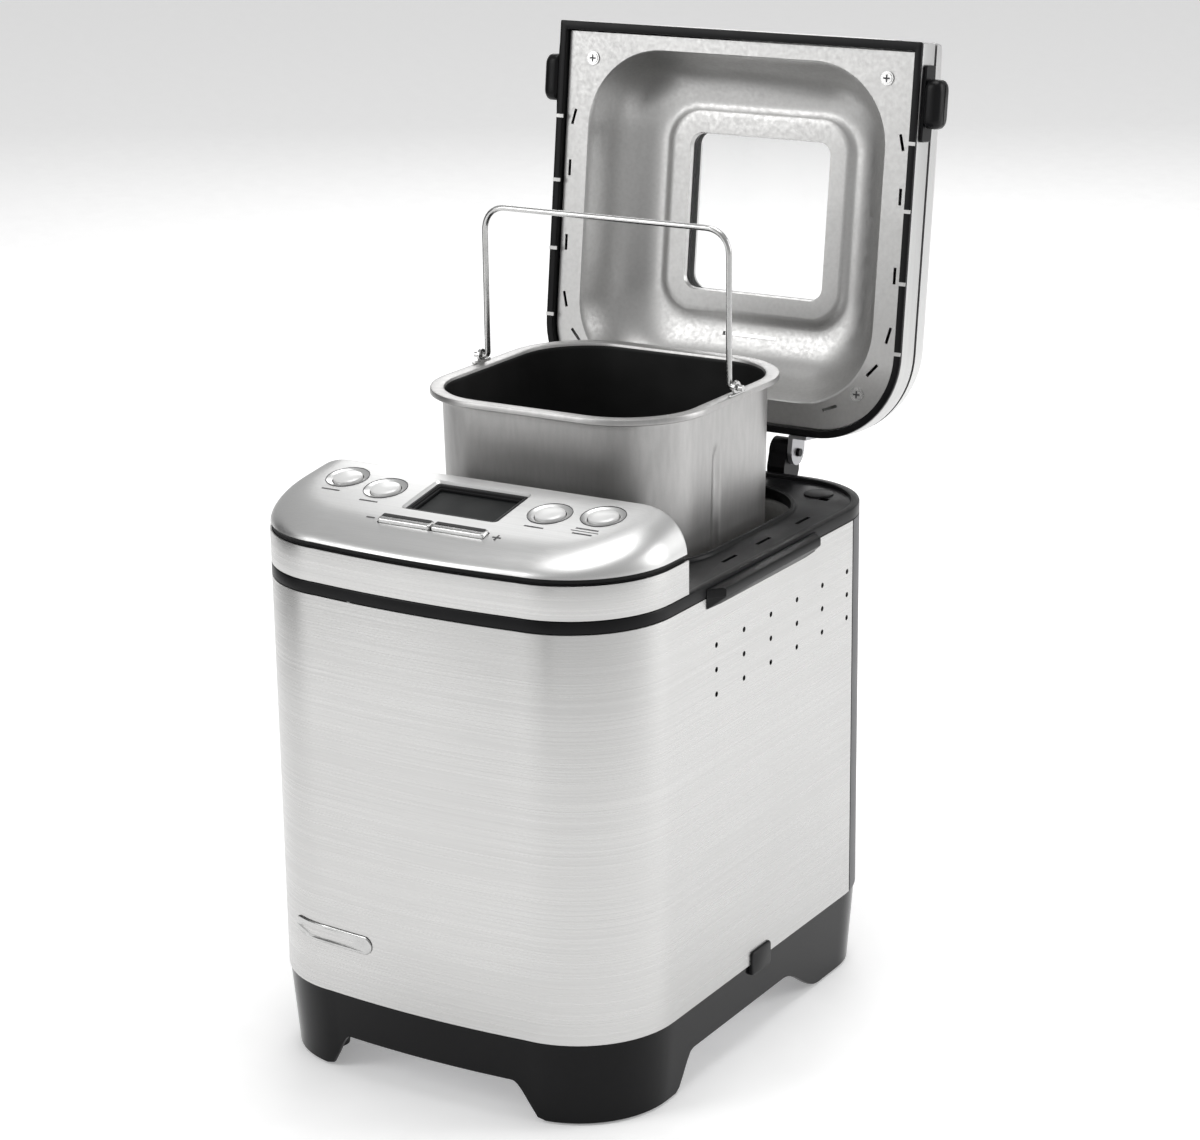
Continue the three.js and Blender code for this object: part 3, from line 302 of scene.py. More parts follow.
def bent(points: Sequence[Vector], bends: Sequence[float], steps: int = 10) -> list[Vector]:
    """Centre line of a wire: straight runs joined by round bends.

    Args:
        points: corners of the route, ends included.
        bends: length taken off each run at each inner corner.
        steps: straight steps in each bend.

    Returns:
        The points of the centre line.
    """
    line = [points[0]]
    for i in range(1, len(points) - 1):
        p = points[i]
        a = p + (points[i - 1] - p).normalized() * bends[i - 1]
        b = p + (points[i + 1] - p).normalized() * bends[i - 1]
        for k in range(steps + 1):
            t = k / steps
            w = 0.86
            u = (1 - t) ** 2 + 2 * w * t * (1 - t) + t * t
            line.append((a * (1 - t) ** 2 + p * (2 * w * t * (1 - t)) + b * t * t) / u)
    line.append(points[-1])
    return line


# ---------------------------------------------------------------- shapes


def linked(name: str, data: bpy.types.ID) -> bpy.types.Object:
    """Makes an object and links it to the scene."""
    made = bpy.data.objects.new(name, data)
    bpy.context.scene.collection.objects.link(made)
    return made


def evaluated(piece: bpy.types.Object) -> bpy.types.Mesh:
    """The mesh that a piece's modifiers give."""
    bpy.context.view_layer.update()
    graph = bpy.context.evaluated_depsgraph_get()
    return bpy.data.meshes.new_from_object(piece.evaluated_get(graph))


class Shape:
    """Points and faces of one piece, in millimetres, before it is placed."""

    def __init__(self) -> None:
        """Starts an empty shape."""
        self.points: list[Vector] = []
        self.faces: list[tuple[int, ...]] = []

    def loft(self, rings: Rings, joined: bool = False, closed: bool = True) -> "Shape":
        """Skins a stack of rings, outer wall first and going up.

        Args:
            rings: rings that all have the same number of points.
            joined: the last ring meets the first, as in a tube's wall.
            closed: each ring is a loop; if not, its two ends get a cap.

        Returns:
            This shape.
        """
        n = len(rings[0])
        base = len(self.points)
        for points in rings:
            self.points.extend(points)
        count = len(rings)
        for k in range(count if joined else count - 1):
            a = base + k * n
            b = base + (k + 1) % count * n
            for i in range(n if closed else n - 1):
                j = (i + 1) % n
                self.faces.append((a + i, a + j, b + j, b + i))
        if not joined:
            self.faces.append(tuple(base + i for i in reversed(range(n))))
            self.faces.append(tuple(base + (count - 1) * n + i for i in range(n)))
        if not closed:
            self.faces.append(tuple(base + k * n for k in range(count)))
            self.faces.append(tuple(base + k * n + n - 1 for k in reversed(range(count))))
        return self

    def turned(self, profile: Sequence[Point], sides: int = 48) -> "Shape":
        """Adds a turned piece on the Z axis.

        Args:
            profile: (radius, height) pairs from the axis at the bottom to the axis at the top.
            sides: flat sides round it.

        Returns:
            This shape.
        """
        inner = [p for p in profile if p[0] > 0]
        rings = []
        for r, z in inner:
            turn = [math.tau * i / sides for i in range(sides)]
            rings.append([Vector((r * math.cos(a), r * math.sin(a), z)) for a in turn])
        return self.loft(rings)

    def tube(self, line: Sequence[Vector], radius: float, sides: int = 14) -> "Shape":
        """Adds a round bar along a centre line that stays in one plane or nearly so."""
        rings = []
        side = Vector((0, 1, 0))
        for i, p in enumerate(line):
            ahead = (line[min(i + 1, len(line) - 1)] - line[max(i - 1, 0)]).normalized()
            across = ahead.cross(side).normalized()
            up = across.cross(ahead).normalized()
            turn = [math.tau * k / sides for k in range(sides)]
            rings.append([p + (across * math.cos(a) + up * math.sin(a)) * radius for a in turn])
        return self.loft(rings)

    def block(self, low: Sequence[float], high: Sequence[float]) -> "Shape":
        """Adds a box between two corners."""
        (x0, y0, z0), (x1, y1, z1) = low, high
        flat = [(x1, y0), (x1, y1), (x0, y1), (x0, y0)]
        return self.loft([ring(flat, z0), ring(flat, z1)])

    def joined_to(self, other: "Shape") -> "Shape":
        """Adds another shape's points and faces."""
        base = len(self.points)
        self.points.extend(other.points)
        self.faces.extend(tuple(base + i for i in face) for face in other.faces)
        return self

    def moved(self, matrix: Matrix) -> "Shape":
        """Moves every point by a matrix."""
        self.points = [matrix @ p for p in self.points]
        return self

    def mesh(self, name: str, place: Matrix) -> bpy.types.Object:
        """Makes the Blender object.

        Args:
            name: its name.
            place: from millimetres in the drawing frame to metres in the row's frame.

        Returns:
            An object at the origin, whose place is in its mesh.
        """
        data = bpy.data.meshes.new(name)
        data.from_pydata([place @ p for p in self.points], [], self.faces)
        merged = bmesh.new()
        merged.from_mesh(data)
        bmesh.ops.remove_doubles(merged, verts=merged.verts, dist=SAME_POINT)
        bmesh.ops.recalc_face_normals(merged, faces=merged.faces)
        merged.to_mesh(data)
        merged.free()
        return linked(name, data)


def on_crown(x: float, y: float, above: float = 0.0) -> Matrix:
    """Matrix that lays a piece drawn about the origin on the crowned top."""
    height = SIZE.crown(y) + above
    return Matrix.Translation((x, y, height)) @ Matrix.Rotation(SIZE.slope(y), 4, "X")


def plate(half_x: float, half_y: float, corner: float, levels: Sequence[Point]) -> Shape:
    """A pad with round corners about the origin, from (inset, height) levels going up."""
    rings = []
    for inset, z in levels:
        r = max(corner - inset, 0.2)
        hx, hy = half_x - inset, half_y - inset
        rings.append(ring(outline(hx, -hy, hy, r, r, steps=6, runs=2), z))
    return Shape().loft(rings)


# ---------------------------------------------------------------- node graphs

Value = Union[float, Sequence[float], "Wire", None]


class Graph:
    """A node tree of either kind, with one method that makes any node."""

    def __init__(self, tree: bpy.types.NodeTree) -> None:
        """Wraps a tree."""
        self.tree = tree

    def node(
        self,
        kind: str,
        settings: Optional[dict[str, object]] = None,
        sockets: Optional[dict[Union[int, str], Value]] = None,
    ) -> bpy.types.Node:
        """Makes a node.

        Args:
            kind: the node's type.
            settings: its properties, set first; "stops" fills a colour ramp.
            sockets: values or links of its inputs, by name or number.

        Returns:
            The node.
        """
        made = self.tree.nodes.new(kind)
        for key, value in (settings or {}).items():
            if key == "stops":
                self._fill_ramp(made.color_ramp, value)
            else:
                setattr(made, key, value)
        for key, value in (sockets or {}).items():
            if isinstance(value, Wire):
                self.tree.links.new(value.socket, made.inputs[key])
            elif value is not None:
                made.inputs[key].default_value = value
        return made

    @staticmethod
    def _fill_ramp(ramp: bpy.types.ColorRamp, stops: Sequence[tuple[float, float]]) -> None:
        """Gives a grey ramp its stops, as (place, brightness)."""
        while len(ramp.elements) < len(stops):
            ramp.elements.new(0.5)
        for element, (place, grey) in zip(ramp.elements, stops):
            element.position = place
            element.color = (grey, grey, grey, 1)

    def wire(
        self,
        kind: str,
        settings: Optional[dict[str, object]] = None,
        sockets: Optional[dict[Union[int, str], Value]] = None,
        output: Union[int, str] = 0,
    ) -> "Wire":
        """Makes a node and returns one of its outputs."""
        return Wire(self, self.node(kind, settings, sockets).outputs[output])


class Wire:
    """An output socket that can be used in Python arithmetic."""

    def __init__(self, graph: Graph, socket: bpy.types.NodeSocket) -> None:
        """Wraps a socket of a graph."""
        self.graph = graph
        self.socket = socket

    def _math(self, operation: str, first: Value, second: Value) -> "Wire":
        """Adds a Math node."""
        return self.graph.wire("ShaderNodeMath", {"operation": operation}, {0: first, 1: second})

    def __add__(self, other: Value) -> "Wire":
        """Sum."""
        return self._math("ADD", self, other)

    def __sub__(self, other: Value) -> "Wire":
        """Difference."""
        return self._math("SUBTRACT", self, other)

    def __mul__(self, other: Value) -> "Wire":
        """Product."""
        return self._math("MULTIPLY", self, other)

    def between(self, low: float, high: float, to_low: float = 0.0, to_high: float = 1.0) -> "Wire":
        """Maps low to high onto another range, clamped."""
        sockets = {0: self, 1: low, 2: high, 3: to_low, 4: to_high}
        return self.graph.wire("ShaderNodeMapRange", {"clamp": True}, sockets)


# ---------------------------------------------------------------- finishes


class Grain(Enum):
    """Which way the lines of a brushed surface run."""

    ROUND_CASE = (6.0, 6.0, 2600.0)
    ACROSS = (8.0, 2400.0, 2400.0)
    NONE = (420.0, 420.0, 420.0)


@dataclass(frozen=True)
class Finish:
    """A procedural finish. Subclasses add what varies over the surface.

    Attributes:
        name: the material's name.
        slot: the record's material slot that it stands for; it is not used.
        colour: base colour.
        roughness: middle roughness.
        metallic: 0 for plastic, 1 for metal.
    """

    name: str
    slot: str
    colour: Colour
    roughness: float
    metallic: float = 0.0

    def material(self) -> bpy.types.Material:
        """Builds the material once and returns it."""
        made = bpy.data.materials.get(self.name)
        if made:
            return made
        made = bpy.data.materials.new(self.name)
        made.use_nodes = True
        made.node_tree.nodes.clear()
        graph = Graph(made.node_tree)
        shader = graph.node(
            "ShaderNodeBsdfPrincipled",
            None,
            {
                "Base Color": (*self.colour, 1),
                "Roughness": self.roughness,
                "Metallic": self.metallic,
            },
        )
        self.vary(graph, shader)
        graph.node("ShaderNodeOutputMaterial", None, {0: Wire(graph, shader.outputs[0])})
        return made

    def vary(self, graph: Graph, shader: bpy.types.Node) -> None:
        """Adds what changes over the surface; the plain finish has nothing."""

    def coordinates(self, graph: Graph, scale: Sequence[float], turn: float = 0.0) -> Wire:
        """Object coordinates, turned about X and then stretched."""
        source = graph.wire("ShaderNodeTexCoord", None, None, "Object")
        if turn:
            source = graph.wire("ShaderNodeMapping", None, {0: source, 2: (turn, 0, 0)})
        return graph.wire("ShaderNodeMapping", None, {0: source, 3: scale})

    def noise(
        self,
        graph: Graph,
        stretch: Sequence[float],
        scale: float,
        detail: float = 2.0,
        turn: float = 0.0,
    ) -> Wire:
        """Noise between 0 and 1 over turned and stretched object coordinates."""
        vector = self.coordinates(graph, stretch, turn)
        sockets = {"Vector": vector, "Scale": scale, "Detail": detail}
        return graph.wire("ShaderNodeTexNoise", None, sockets)

    def tint(self, graph: Graph, shader: bpy.types.Node, share: Wire, other: Colour) -> None:
        """Base colour goes from the finish's own to another by share."""
        mixed = graph.wire(
            "ShaderNodeMix",
            {"data_type": "RGBA"},
            {0: share, 6: (*self.colour, 1), 7: (*other, 1)},
            2,
        )
        graph.tree.links.new(mixed.socket, shader.inputs["Base Color"])

    def rough(self, graph: Graph, shader: bpy.types.Node, value: Wire) -> None:
        """Links the roughness."""
        graph.tree.links.new(value.socket, shader.inputs["Roughness"])

    def bump(
        self, graph: Graph, shader: bpy.types.Node, height: Wire, strength: float, depth: float
    ) -> None:
        """Links a bump of that depth in metres."""
        normal = graph.wire(
            "ShaderNodeBump", None, {"Strength": strength, "Distance": depth, "Height": height}
        )
        graph.tree.links.new(normal.socket, shader.inputs["Normal"])


def scaled(colour: Colour, factor: float) -> Colour:
    """A colour made lighter or darker."""
    return tuple(min(c * factor, 1.0) for c in colour)


@dataclass(frozen=True)
class Brushed(Finish):
    """Brushed or satin metal: fine lines one way, and a slow cloudiness."""

    grain: Grain = Grain.ROUND_CASE
    contrast: float = 0.06
    turn: float = 0.0
    depth: float = 0.00002

    def vary(self, graph: Graph, shader: bpy.types.Node) -> None:
        """Lines and clouds drive colour, roughness and a slight bump."""
        lines = self.noise(graph, self.grain.value, 1.0, 4.0, self.turn)
        cloud = self.noise(graph, (9, 9, 9), 1.0, 3.0)
        streak = lines.between(0.3, 0.7)
        share = streak * 0.75 + cloud.between(0.3, 0.7) * 0.25
        self.tint(graph, shader, share, scaled(self.colour, 1 - 2 * self.contrast))
        self.rough(graph, shader, streak * 0.12 + cloud * 0.08 + (self.roughness - 0.1))
        self.bump(graph, shader, lines, 0.35, self.depth)


@dataclass(frozen=True)
class Moulded(Finish):
    """Moulded plastic or rubber with a fine grain and faint handling marks."""

    grain_scale: float = 1800.0
    grain_strength: float = 0.2
    coat: float = 0.0
    shine: float = 0.5

    def vary(self, graph: Graph, shader: bpy.types.Node) -> None:
        """Grain in the bump, wear in the roughness and colour."""
        fine = self.noise(graph, EVEN, self.grain_scale, 1.0)
        wear = self.noise(graph, EVEN, 38.0, 5.0)
        mark = wear.between(0.35, 0.75)
        self.tint(graph, shader, mark * 0.6, scaled(self.colour, 1.3))
        self.rough(graph, shader, mark * 0.1 + (self.roughness - 0.03))
        self.bump(graph, shader, fine, self.grain_strength, 0.00012)
        shader.inputs["Specular IOR Level"].default_value = self.shine
        shader.inputs["Coat Weight"].default_value = self.coat
        shader.inputs["Coat Roughness"].default_value = 0.06


@dataclass(frozen=True)
class Coated(Finish):
    """The pan's non-stick coat: a speckled metallic grey with faint drawing lines."""

    def vary(self, graph: Graph, shader: bpy.types.Node) -> None:
        """Speckle, upright drawing lines and soft scuffs."""
        speckle = self.noise(graph, EVEN, 2600.0, 1.0)
        drawn = self.noise(graph, (300, 300, 60), 1.0, 3.0)
        scuff = self.noise(graph, EVEN, 30.0, 4.0)
        share = speckle.between(0.45, 0.7) * 0.5 + drawn.between(0.35, 0.65) * 0.5
        self.tint(graph, shader, share, scaled(self.colour, 0.86))
        self.rough(graph, shader, drawn * 0.1 + scuff * 0.12 + (self.roughness - 0.11))
        self.bump(graph, shader, speckle + drawn * 0.6, 0.25, 0.00004)


@dataclass(frozen=True)
class Polished(Finish):
    """Bright drawn or plated metal with hairline scratches."""

    def vary(self, graph: Graph, shader: bpy.types.Node) -> None:
        """Scratches in roughness and bump, a slight tarnish in colour."""
        scratch = self.noise(graph, (180, 2100, 180), 1.0, 3.0)
        dull = self.noise(graph, EVEN, 60.0, 3.0)
        self.tint(graph, shader, dull.between(0.45, 0.8), scaled(self.colour, 0.78))
        self.rough(graph, shader, scratch * 0.14 + dull * 0.06 + (self.roughness - 0.08))
        self.bump(graph, shader, scratch, 0.15, 0.00002)


@dataclass(frozen=True)
class Zinc(Finish):
    """Zinc-plated sheet with its crystal pattern."""

    def vary(self, graph: Graph, shader: bpy.types.Node) -> None:
        """Crystals in colour and roughness."""
        cells = graph.wire(
            "ShaderNodeTexVoronoi",
            {"feature": "F1"},
            {"Vector": self.coordinates(graph, EVEN), "Scale": 160.0},
            "Color",
        )
        grey = graph.wire("ShaderNodeRGBToBW", None, {0: cells})
        fine = self.noise(graph, EVEN, 900.0)
        self.tint(graph, shader, grey, scaled(self.colour, 0.7))
        self.rough(graph, shader, grey * 0.2 + fine * 0.1 + (self.roughness - 0.15))
        self.bump(graph, shader, fine, 0.2, 0.00004)


@dataclass(frozen=True)
class Pane(Finish):
    """A clear pane with a trace of bloom."""

    def vary(self, graph: Graph, shader: bpy.types.Node) -> None:
        """Mostly see-through, a little less where it is smeared."""
        smear = self.noise(graph, (30, 30, 9), 1.0, 4.0)
        alpha = smear.between(0.45, 0.8, 0.02, 0.06)
        graph.tree.links.new(alpha.socket, shader.inputs["Alpha"])
        self.rough(graph, shader, smear * 0.05 + self.roughness)


@dataclass(frozen=True)
class Circuit(Finish):
    """A printed board: green lacquer over square-cornered tracks."""

    def vary(self, graph: Graph, shader: bpy.types.Node) -> None:
        """Tracks from a brick pattern."""
        tracks = graph.wire(
            "ShaderNodeTexBrick",
            None,
            {"Vector": self.coordinates(graph, EVEN), "Scale": 90.0, "Mortar Size": 0.05},
            "Fac",
        )
        self.tint(graph, shader, tracks * 0.6, scaled(self.colour, 2.4))
        self.bump(graph, shader, tracks, 0.3, 0.0001)


@dataclass(frozen=True)
class Finishes:
    """Every finish of the machine."""

    steel: Finish = Brushed("case_steel", "steel_skin", (0.59, 0.587, 0.58), 0.3, 1.0)
    lid_steel: Finish = Brushed(
        "lid_band_steel", "steel_skin", (0.6, 0.6, 0.595), 0.36, 1.0, turn=math.radians(97.1)
    )
    cover: Finish = Brushed(
        "cover_silver", "silver_cover", (0.68, 0.68, 0.675), 0.36, 0.92, Grain.ACROSS, 0.05
    )
    liner: Finish = Brushed(
        "liner_silver", "liner_satin", (0.54, 0.537, 0.53), 0.4, 1.0, Grain.NONE, 0.04
    )
    chamber: Finish = Brushed(
        "chamber_sheet", "chamber_steel", (0.5, 0.5, 0.49), 0.36, 1.0, Grain.NONE, 0.06
    )
    gloss: Finish = Moulded(
        "base_black", "black_gloss", (0.003, 0.003, 0.0035), 0.16, 0.0, 260.0, 0.03, 0.04, 0.14
    )
    black: Finish = Moulded(
        "deck_black", "black_satin", (0.005, 0.005, 0.0055), 0.32, 0.0, 1800.0, 0.15, 0.0, 0.16
    )
    lacquer: Finish = Moulded(
        "pan_lacquer", "pan_grey", (0.012, 0.012, 0.012), 0.4, 0.1, 1500.0, 0.2, 0.0, 0.4
    )
    rubber: Finish = Moulded("rubber", "rubber_black", (0.03, 0.03, 0.03), 0.8, 0.0, 900.0, 0.5)
    powder: Finish = Moulded("back_powder", "grey_back", (0.1, 0.1, 0.104), 0.5, 0.2, 1100.0, 0.5)
    coat: Finish = Coated("pan_coat", "pan_grey", (0.46, 0.455, 0.45), 0.4, 0.95)
    cast: Finish = Moulded("cast_metal", "cast_grey", (0.4, 0.4, 0.4), 0.5, 0.9, 700.0, 0.6)
    bright: Finish = Polished("bright_metal", "bright", (0.56, 0.56, 0.555), 0.24, 1.0)
    pearl: Finish = Moulded(
        "pearl_button", "pearl", (0.66, 0.66, 0.655), 0.3, 0.1, 2400.0, 0.04, 0.2
    )
    display: Finish = Moulded(
        "display_glass", "display", (0.004, 0.005, 0.005), 0.34, 0.0, 200.0, 0.01, 0.0, 0.06
    )
    zinc: Finish = Zinc("zinc_sheet", "zinc_sheet", (0.42, 0.42, 0.43), 0.45, 0.85)
    pane: Finish = Pane("clear_pane", "pane", (0.93, 0.96, 0.96), 0.03)
    board: Finish = Circuit("circuit_board", "circuit", (0.03, 0.17, 0.07), 0.4)
    # dark grey for the printed bars and signs, and painted shade for the ring at each button's dish and the
    # cross in each screw head
    print: Finish = Moulded("printed_mark", "black_satin", (0.05, 0.05, 0.052), 0.5)


FINISH = Finishes()


# ---------------------------------------------------------------- repeated pieces


class Repeater:
    """Geometry Nodes that repeat one small shape."""

    def __init__(self, name: str, inputs: Sequence[tuple[str, str, float]]) -> None:
        """Starts a tree.

        Args:
            name: the tree's name.
            inputs: (name, socket type, value) of each named size.
        """
        self.tree = bpy.data.node_groups.new(name, "GeometryNodeTree")
        face = self.tree.interface
        face.new_socket("Geometry", in_out="INPUT", socket_type="NodeSocketGeometry")
        self.identifiers: dict[str, str] = {}
        for label, kind, value in inputs:
            socket = face.new_socket(label, in_out="INPUT", socket_type=kind)
            socket.default_value = value
            self.identifiers[label] = socket.identifier
        face.new_socket("Geometry", in_out="OUTPUT", socket_type="NodeSocketGeometry")
        self.graph = Graph(self.tree)
        self.source = self.graph.node("NodeGroupInput")

    def given(self, label: str) -> Wire:
        """An input of the tree."""
        return Wire(self.graph, self.source.outputs[label])

    def dress(self, geometry: Wire, finish: Finish) -> Wire:
        """Gives geometry the material of a finish."""
        made = self.graph.wire("GeometryNodeSetMaterial", None, {0: geometry})
        made.socket.node.inputs["Material"].default_value = finish.material()
        return made

    def close(self, instances: Wire, finish: Finish) -> None:
        """Ends the tree with Realize Instances and Set Material."""
        real = self.graph.wire("GeometryNodeRealizeInstances", None, {0: instances})
        self.graph.node("NodeGroupOutput", None, {0: self.dress(real, finish)})

    def mesh(
        self, name: str, spots: bpy.types.Mesh, values: dict[str, float], place: Matrix
    ) -> bpy.types.Object:
        """Runs the tree on a mesh of points and returns a plain mesh object.

        Args:
            name: the new object's name.
            spots: mesh whose points the tree may use.
            values: sizes by input name.
            place: from the tree's frame, in metres, to the row's frame.

        Returns:
            The object, at the origin.
        """
        holder = linked(name + "_carrier", spots)
        modifier = holder.modifiers.new("repeat", "NODES")
        modifier.node_group = self.tree
        for label, value in values.items():
            modifier[self.identifiers[label]] = value
        data = evaluated(holder)
        data.name = name
        data.transform(place)
        bpy.data.objects.remove(holder)
        return linked(name, data)


def carrier(points: Sequence[Vector], turns: Optional[Sequence[float]] = None) -> bpy.types.Mesh:
    """A mesh of loose points in metres, each with a turn about its own Z."""
    data = bpy.data.meshes.new("points")
    data.from_pydata([p * MM for p in points], [], [])
    store = data.attributes.new("turn", "FLOAT", "POINT")
    for item, turn in zip(store.data, turns or [0.0] * len(points)):
        item.value = turn
    return data


def hole_grid(finish: Finish) -> Repeater:
    """A grid of round pins: rows and columns of perforations."""
    sizes = [
        ("Columns", "NodeSocketInt", 6),
        ("Rows", "NodeSocketInt", 3),
        ("Column Pitch", "NodeSocketFloat", 0.03),
        ("Row Pitch", "NodeSocketFloat", 0.01),
        ("Radius", "NodeSocketFloat", 0.002),
        ("Length", "NodeSocketFloat", 0.01),
    ]
    job = Repeater("perforations", sizes)
    g = job.graph
    columns, rows = job.given("Columns"), job.given("Rows")
    grid = g.wire(
        "GeometryNodeMeshGrid",
        None,
        {
            "Size X": (columns - 1) * job.given("Column Pitch"),
            "Size Y": (rows - 1) * job.given("Row Pitch"),
            "Vertices X": columns,
            "Vertices Y": rows,
        },
    )
    pin = g.wire(
        "GeometryNodeMeshCylinder",
        None,
        {"Vertices": 20, "Radius": job.given("Radius"), "Depth": job.given("Length")},
    )
    job.close(g.wire("GeometryNodeInstanceOnPoints", None, {"Points": grid, "Instance": pin}), finish)
    return job


def block_size(long: float, wide: float, high: float) -> dict[str, float]:
    """Sizes of a block of block_row, given in millimetres."""
    return {"Long": long * MM, "Wide": wide * MM, "High": high * MM}


def block_row(finish: Finish) -> Repeater:
    """A small block on each point of the carrier, turned by the point's own angle."""
    sizes = [
        ("Long", "NodeSocketFloat", 0.01),
        ("Wide", "NodeSocketFloat", 0.002),
        ("High", "NodeSocketFloat", 0.002),
    ]
    job = Repeater("blocks_" + finish.name, sizes)
    g = job.graph
    size = g.wire(
        "ShaderNodeCombineXYZ", None, {0: job.given("Wide"), 1: job.given("Long"), 2: job.given("High")}
    )
    block = g.wire("GeometryNodeMeshCube", None, {"Size": size})
    angle = g.wire("GeometryNodeInputNamedAttribute", {"data_type": "FLOAT"}, {"Name": "turn"})
    turn = g.wire("ShaderNodeCombineXYZ", None, {2: angle})
    sockets = {"Points": job.given("Geometry"), "Instance": block, "Rotation": turn}
    job.close(g.wire("GeometryNodeInstanceOnPoints", None, sockets), finish)
    return job


def cross_heads(metal: Finish, dark: Finish) -> Repeater:
    """Countersunk screw heads, face down on each point, whose cross recess is a cross of dark bars: painted
    shade.
    """
    job = Repeater("cross_heads", [("Radius", "NodeSocketFloat", 0.0042)])
    g = job.graph
    radius = job.given("Radius")
    head = g.wire(
        "GeometryNodeMeshCylinder", None, {"Vertices": 32, "Radius": radius, "Depth": radius * 0.3}
    )
    rim = g.wire(
        "GeometryNodeMeshCylinder", None, {"Vertices": 32, "Radius": radius * 0.8, "Depth": radius * 0.5}
    )
    bars = []
    for long_x, long_y in ((1.05, 0.24), (0.24, 1.05)):
        size = g.wire(
            "ShaderNodeCombineXYZ", None, {0: radius * long_x, 1: radius * long_y, 2: radius * 0.54}
        )
        bars.append(g.wire("GeometryNodeMeshCube", None, {"Size": size}))
    cross = g.node("GeometryNodeJoinGeometry")
    for bar in bars:
        g.tree.links.new(bar.socket, cross.inputs[0])
    # the dark cross is painted shade standing in for the recess
    cross_shade = job.dress(Wire(g, cross.outputs[0]), dark)
    both = g.node("GeometryNodeJoinGeometry")
    for item in (head, rim):
        g.tree.links.new(job.dress(item, metal).socket, both.inputs[0])
    g.tree.links.new(cross_shade.socket, both.inputs[0])
    sockets = {"Points": job.given("Geometry"), "Instance": Wire(g, both.outputs[0])}
    spread = g.wire("GeometryNodeInstanceOnPoints", None, sockets)
    g.node("NodeGroupOutput", None, {0: g.wire("GeometryNodeRealizeInstances", None, {0: spread})})
    return job


# ---------------------------------------------------------------- workshop


class Workshop:
    """Places pieces in the row's frame, dresses them and ties them to their bodies."""

    def __init__(self, frame: dict) -> None:
        """Reads the frame: where the case, the open lid and the lifted pan stand."""
        low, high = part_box("deck_frame")
        self.case = Matrix.Translation((0, (low.y + high.y) / 2, 0)) @ Matrix.Scale(MM, 4)
        joints = {joint["name"]: joint for joint in frame["joints"]}
        hinge = Vector(joints["lid_hinge"]["pos_m"])
        angle = math.radians(joints["lid_hinge"]["range_deg"][1])
        about = Matrix.Translation(hinge) @ Matrix.Rotation(-angle, 4, "X")
        self.lid = about @ Matrix.Translation(-hinge) @ self.case
        lift = -joints["pan_lift"]["range_m"][0]
        self.pan = Matrix.Translation((0, 0, lift)) @ self.case
        self.count = 0

    def add(
        self,
        piece: bpy.types.Object,
        finish: Optional[Finish],
        body: str,
        nodes: Sequence[str] = (),
        angle: float = 32.0,
    ) -> bpy.types.Object:
        """Dresses a piece and ties it to its body.

        Args:
            piece: the object, in place.
            finish: its finish, or None where its mesh already has materials.
            body: the body that it rides on.
            nodes: the nodes that it stands for.
            angle: edges sharper than this stay crisp, in degrees.

        Returns:
            The piece.
        """
        if finish:
            piece.data.materials.clear()
            piece.data.materials.append(finish.material())
        piece.data.shade_smooth()
        piece.data.set_sharp_from_angle(angle=math.radians(angle))
        if nodes:
            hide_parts(*nodes)
        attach(piece, body)
        self.count += 1
        log.info("%s rides on %s", piece.name, body)
        return piece

    @staticmethod
    def keep(frame: dict, finish: Finish, nodes: Iterable[str]) -> None:
        """Dresses nodes whose shape stays as it is."""
        for name in nodes:
            node = frame["nodes"][name]
            node.data.materials.clear()
            node.data.materials.append(finish.material())
            log.info("%s keeps its shape", name)

    @staticmethod
    def carve(piece: bpy.types.Object, cutters: Sequence[bpy.types.Object]) -> bpy.types.Object:
        """Cuts other objects out of a piece and removes them."""
        for cutter in cutters:
            modifier = piece.modifiers.new("cut", "BOOLEAN")
            modifier.operation = "DIFFERENCE"
            modifier.solver = "EXACT"
            modifier.object = cutter
        data = evaluated(piece)
        piece.modifiers.clear()
        piece.data = data
        for cutter in cutters:
            bpy.data.objects.remove(cutter)
        return piece


def drill(name: str, radius: float, at: Sequence[float], half: float, along_y: bool) -> Callable:
    """A round cutter for a bore.

    Args:
        name: the cutter's name.
        radius: radius of the bore.
        at: its middle.
        half: half of its length.
        along_y: it runs front to back, not upright.

    Returns:
        A function from a placing matrix to the cutter.
    """
    rod = Shape().turned([(radius, -half), (radius, half)], 36)
    turn = Matrix.Rotation(math.pi / 2, 4, "X") if along_y else Matrix.Identity(4)
    rod.moved(Matrix.Translation(at) @ turn)
    return lambda place: rod.mesh(name, place)


# ---------------------------------------------------------------- base


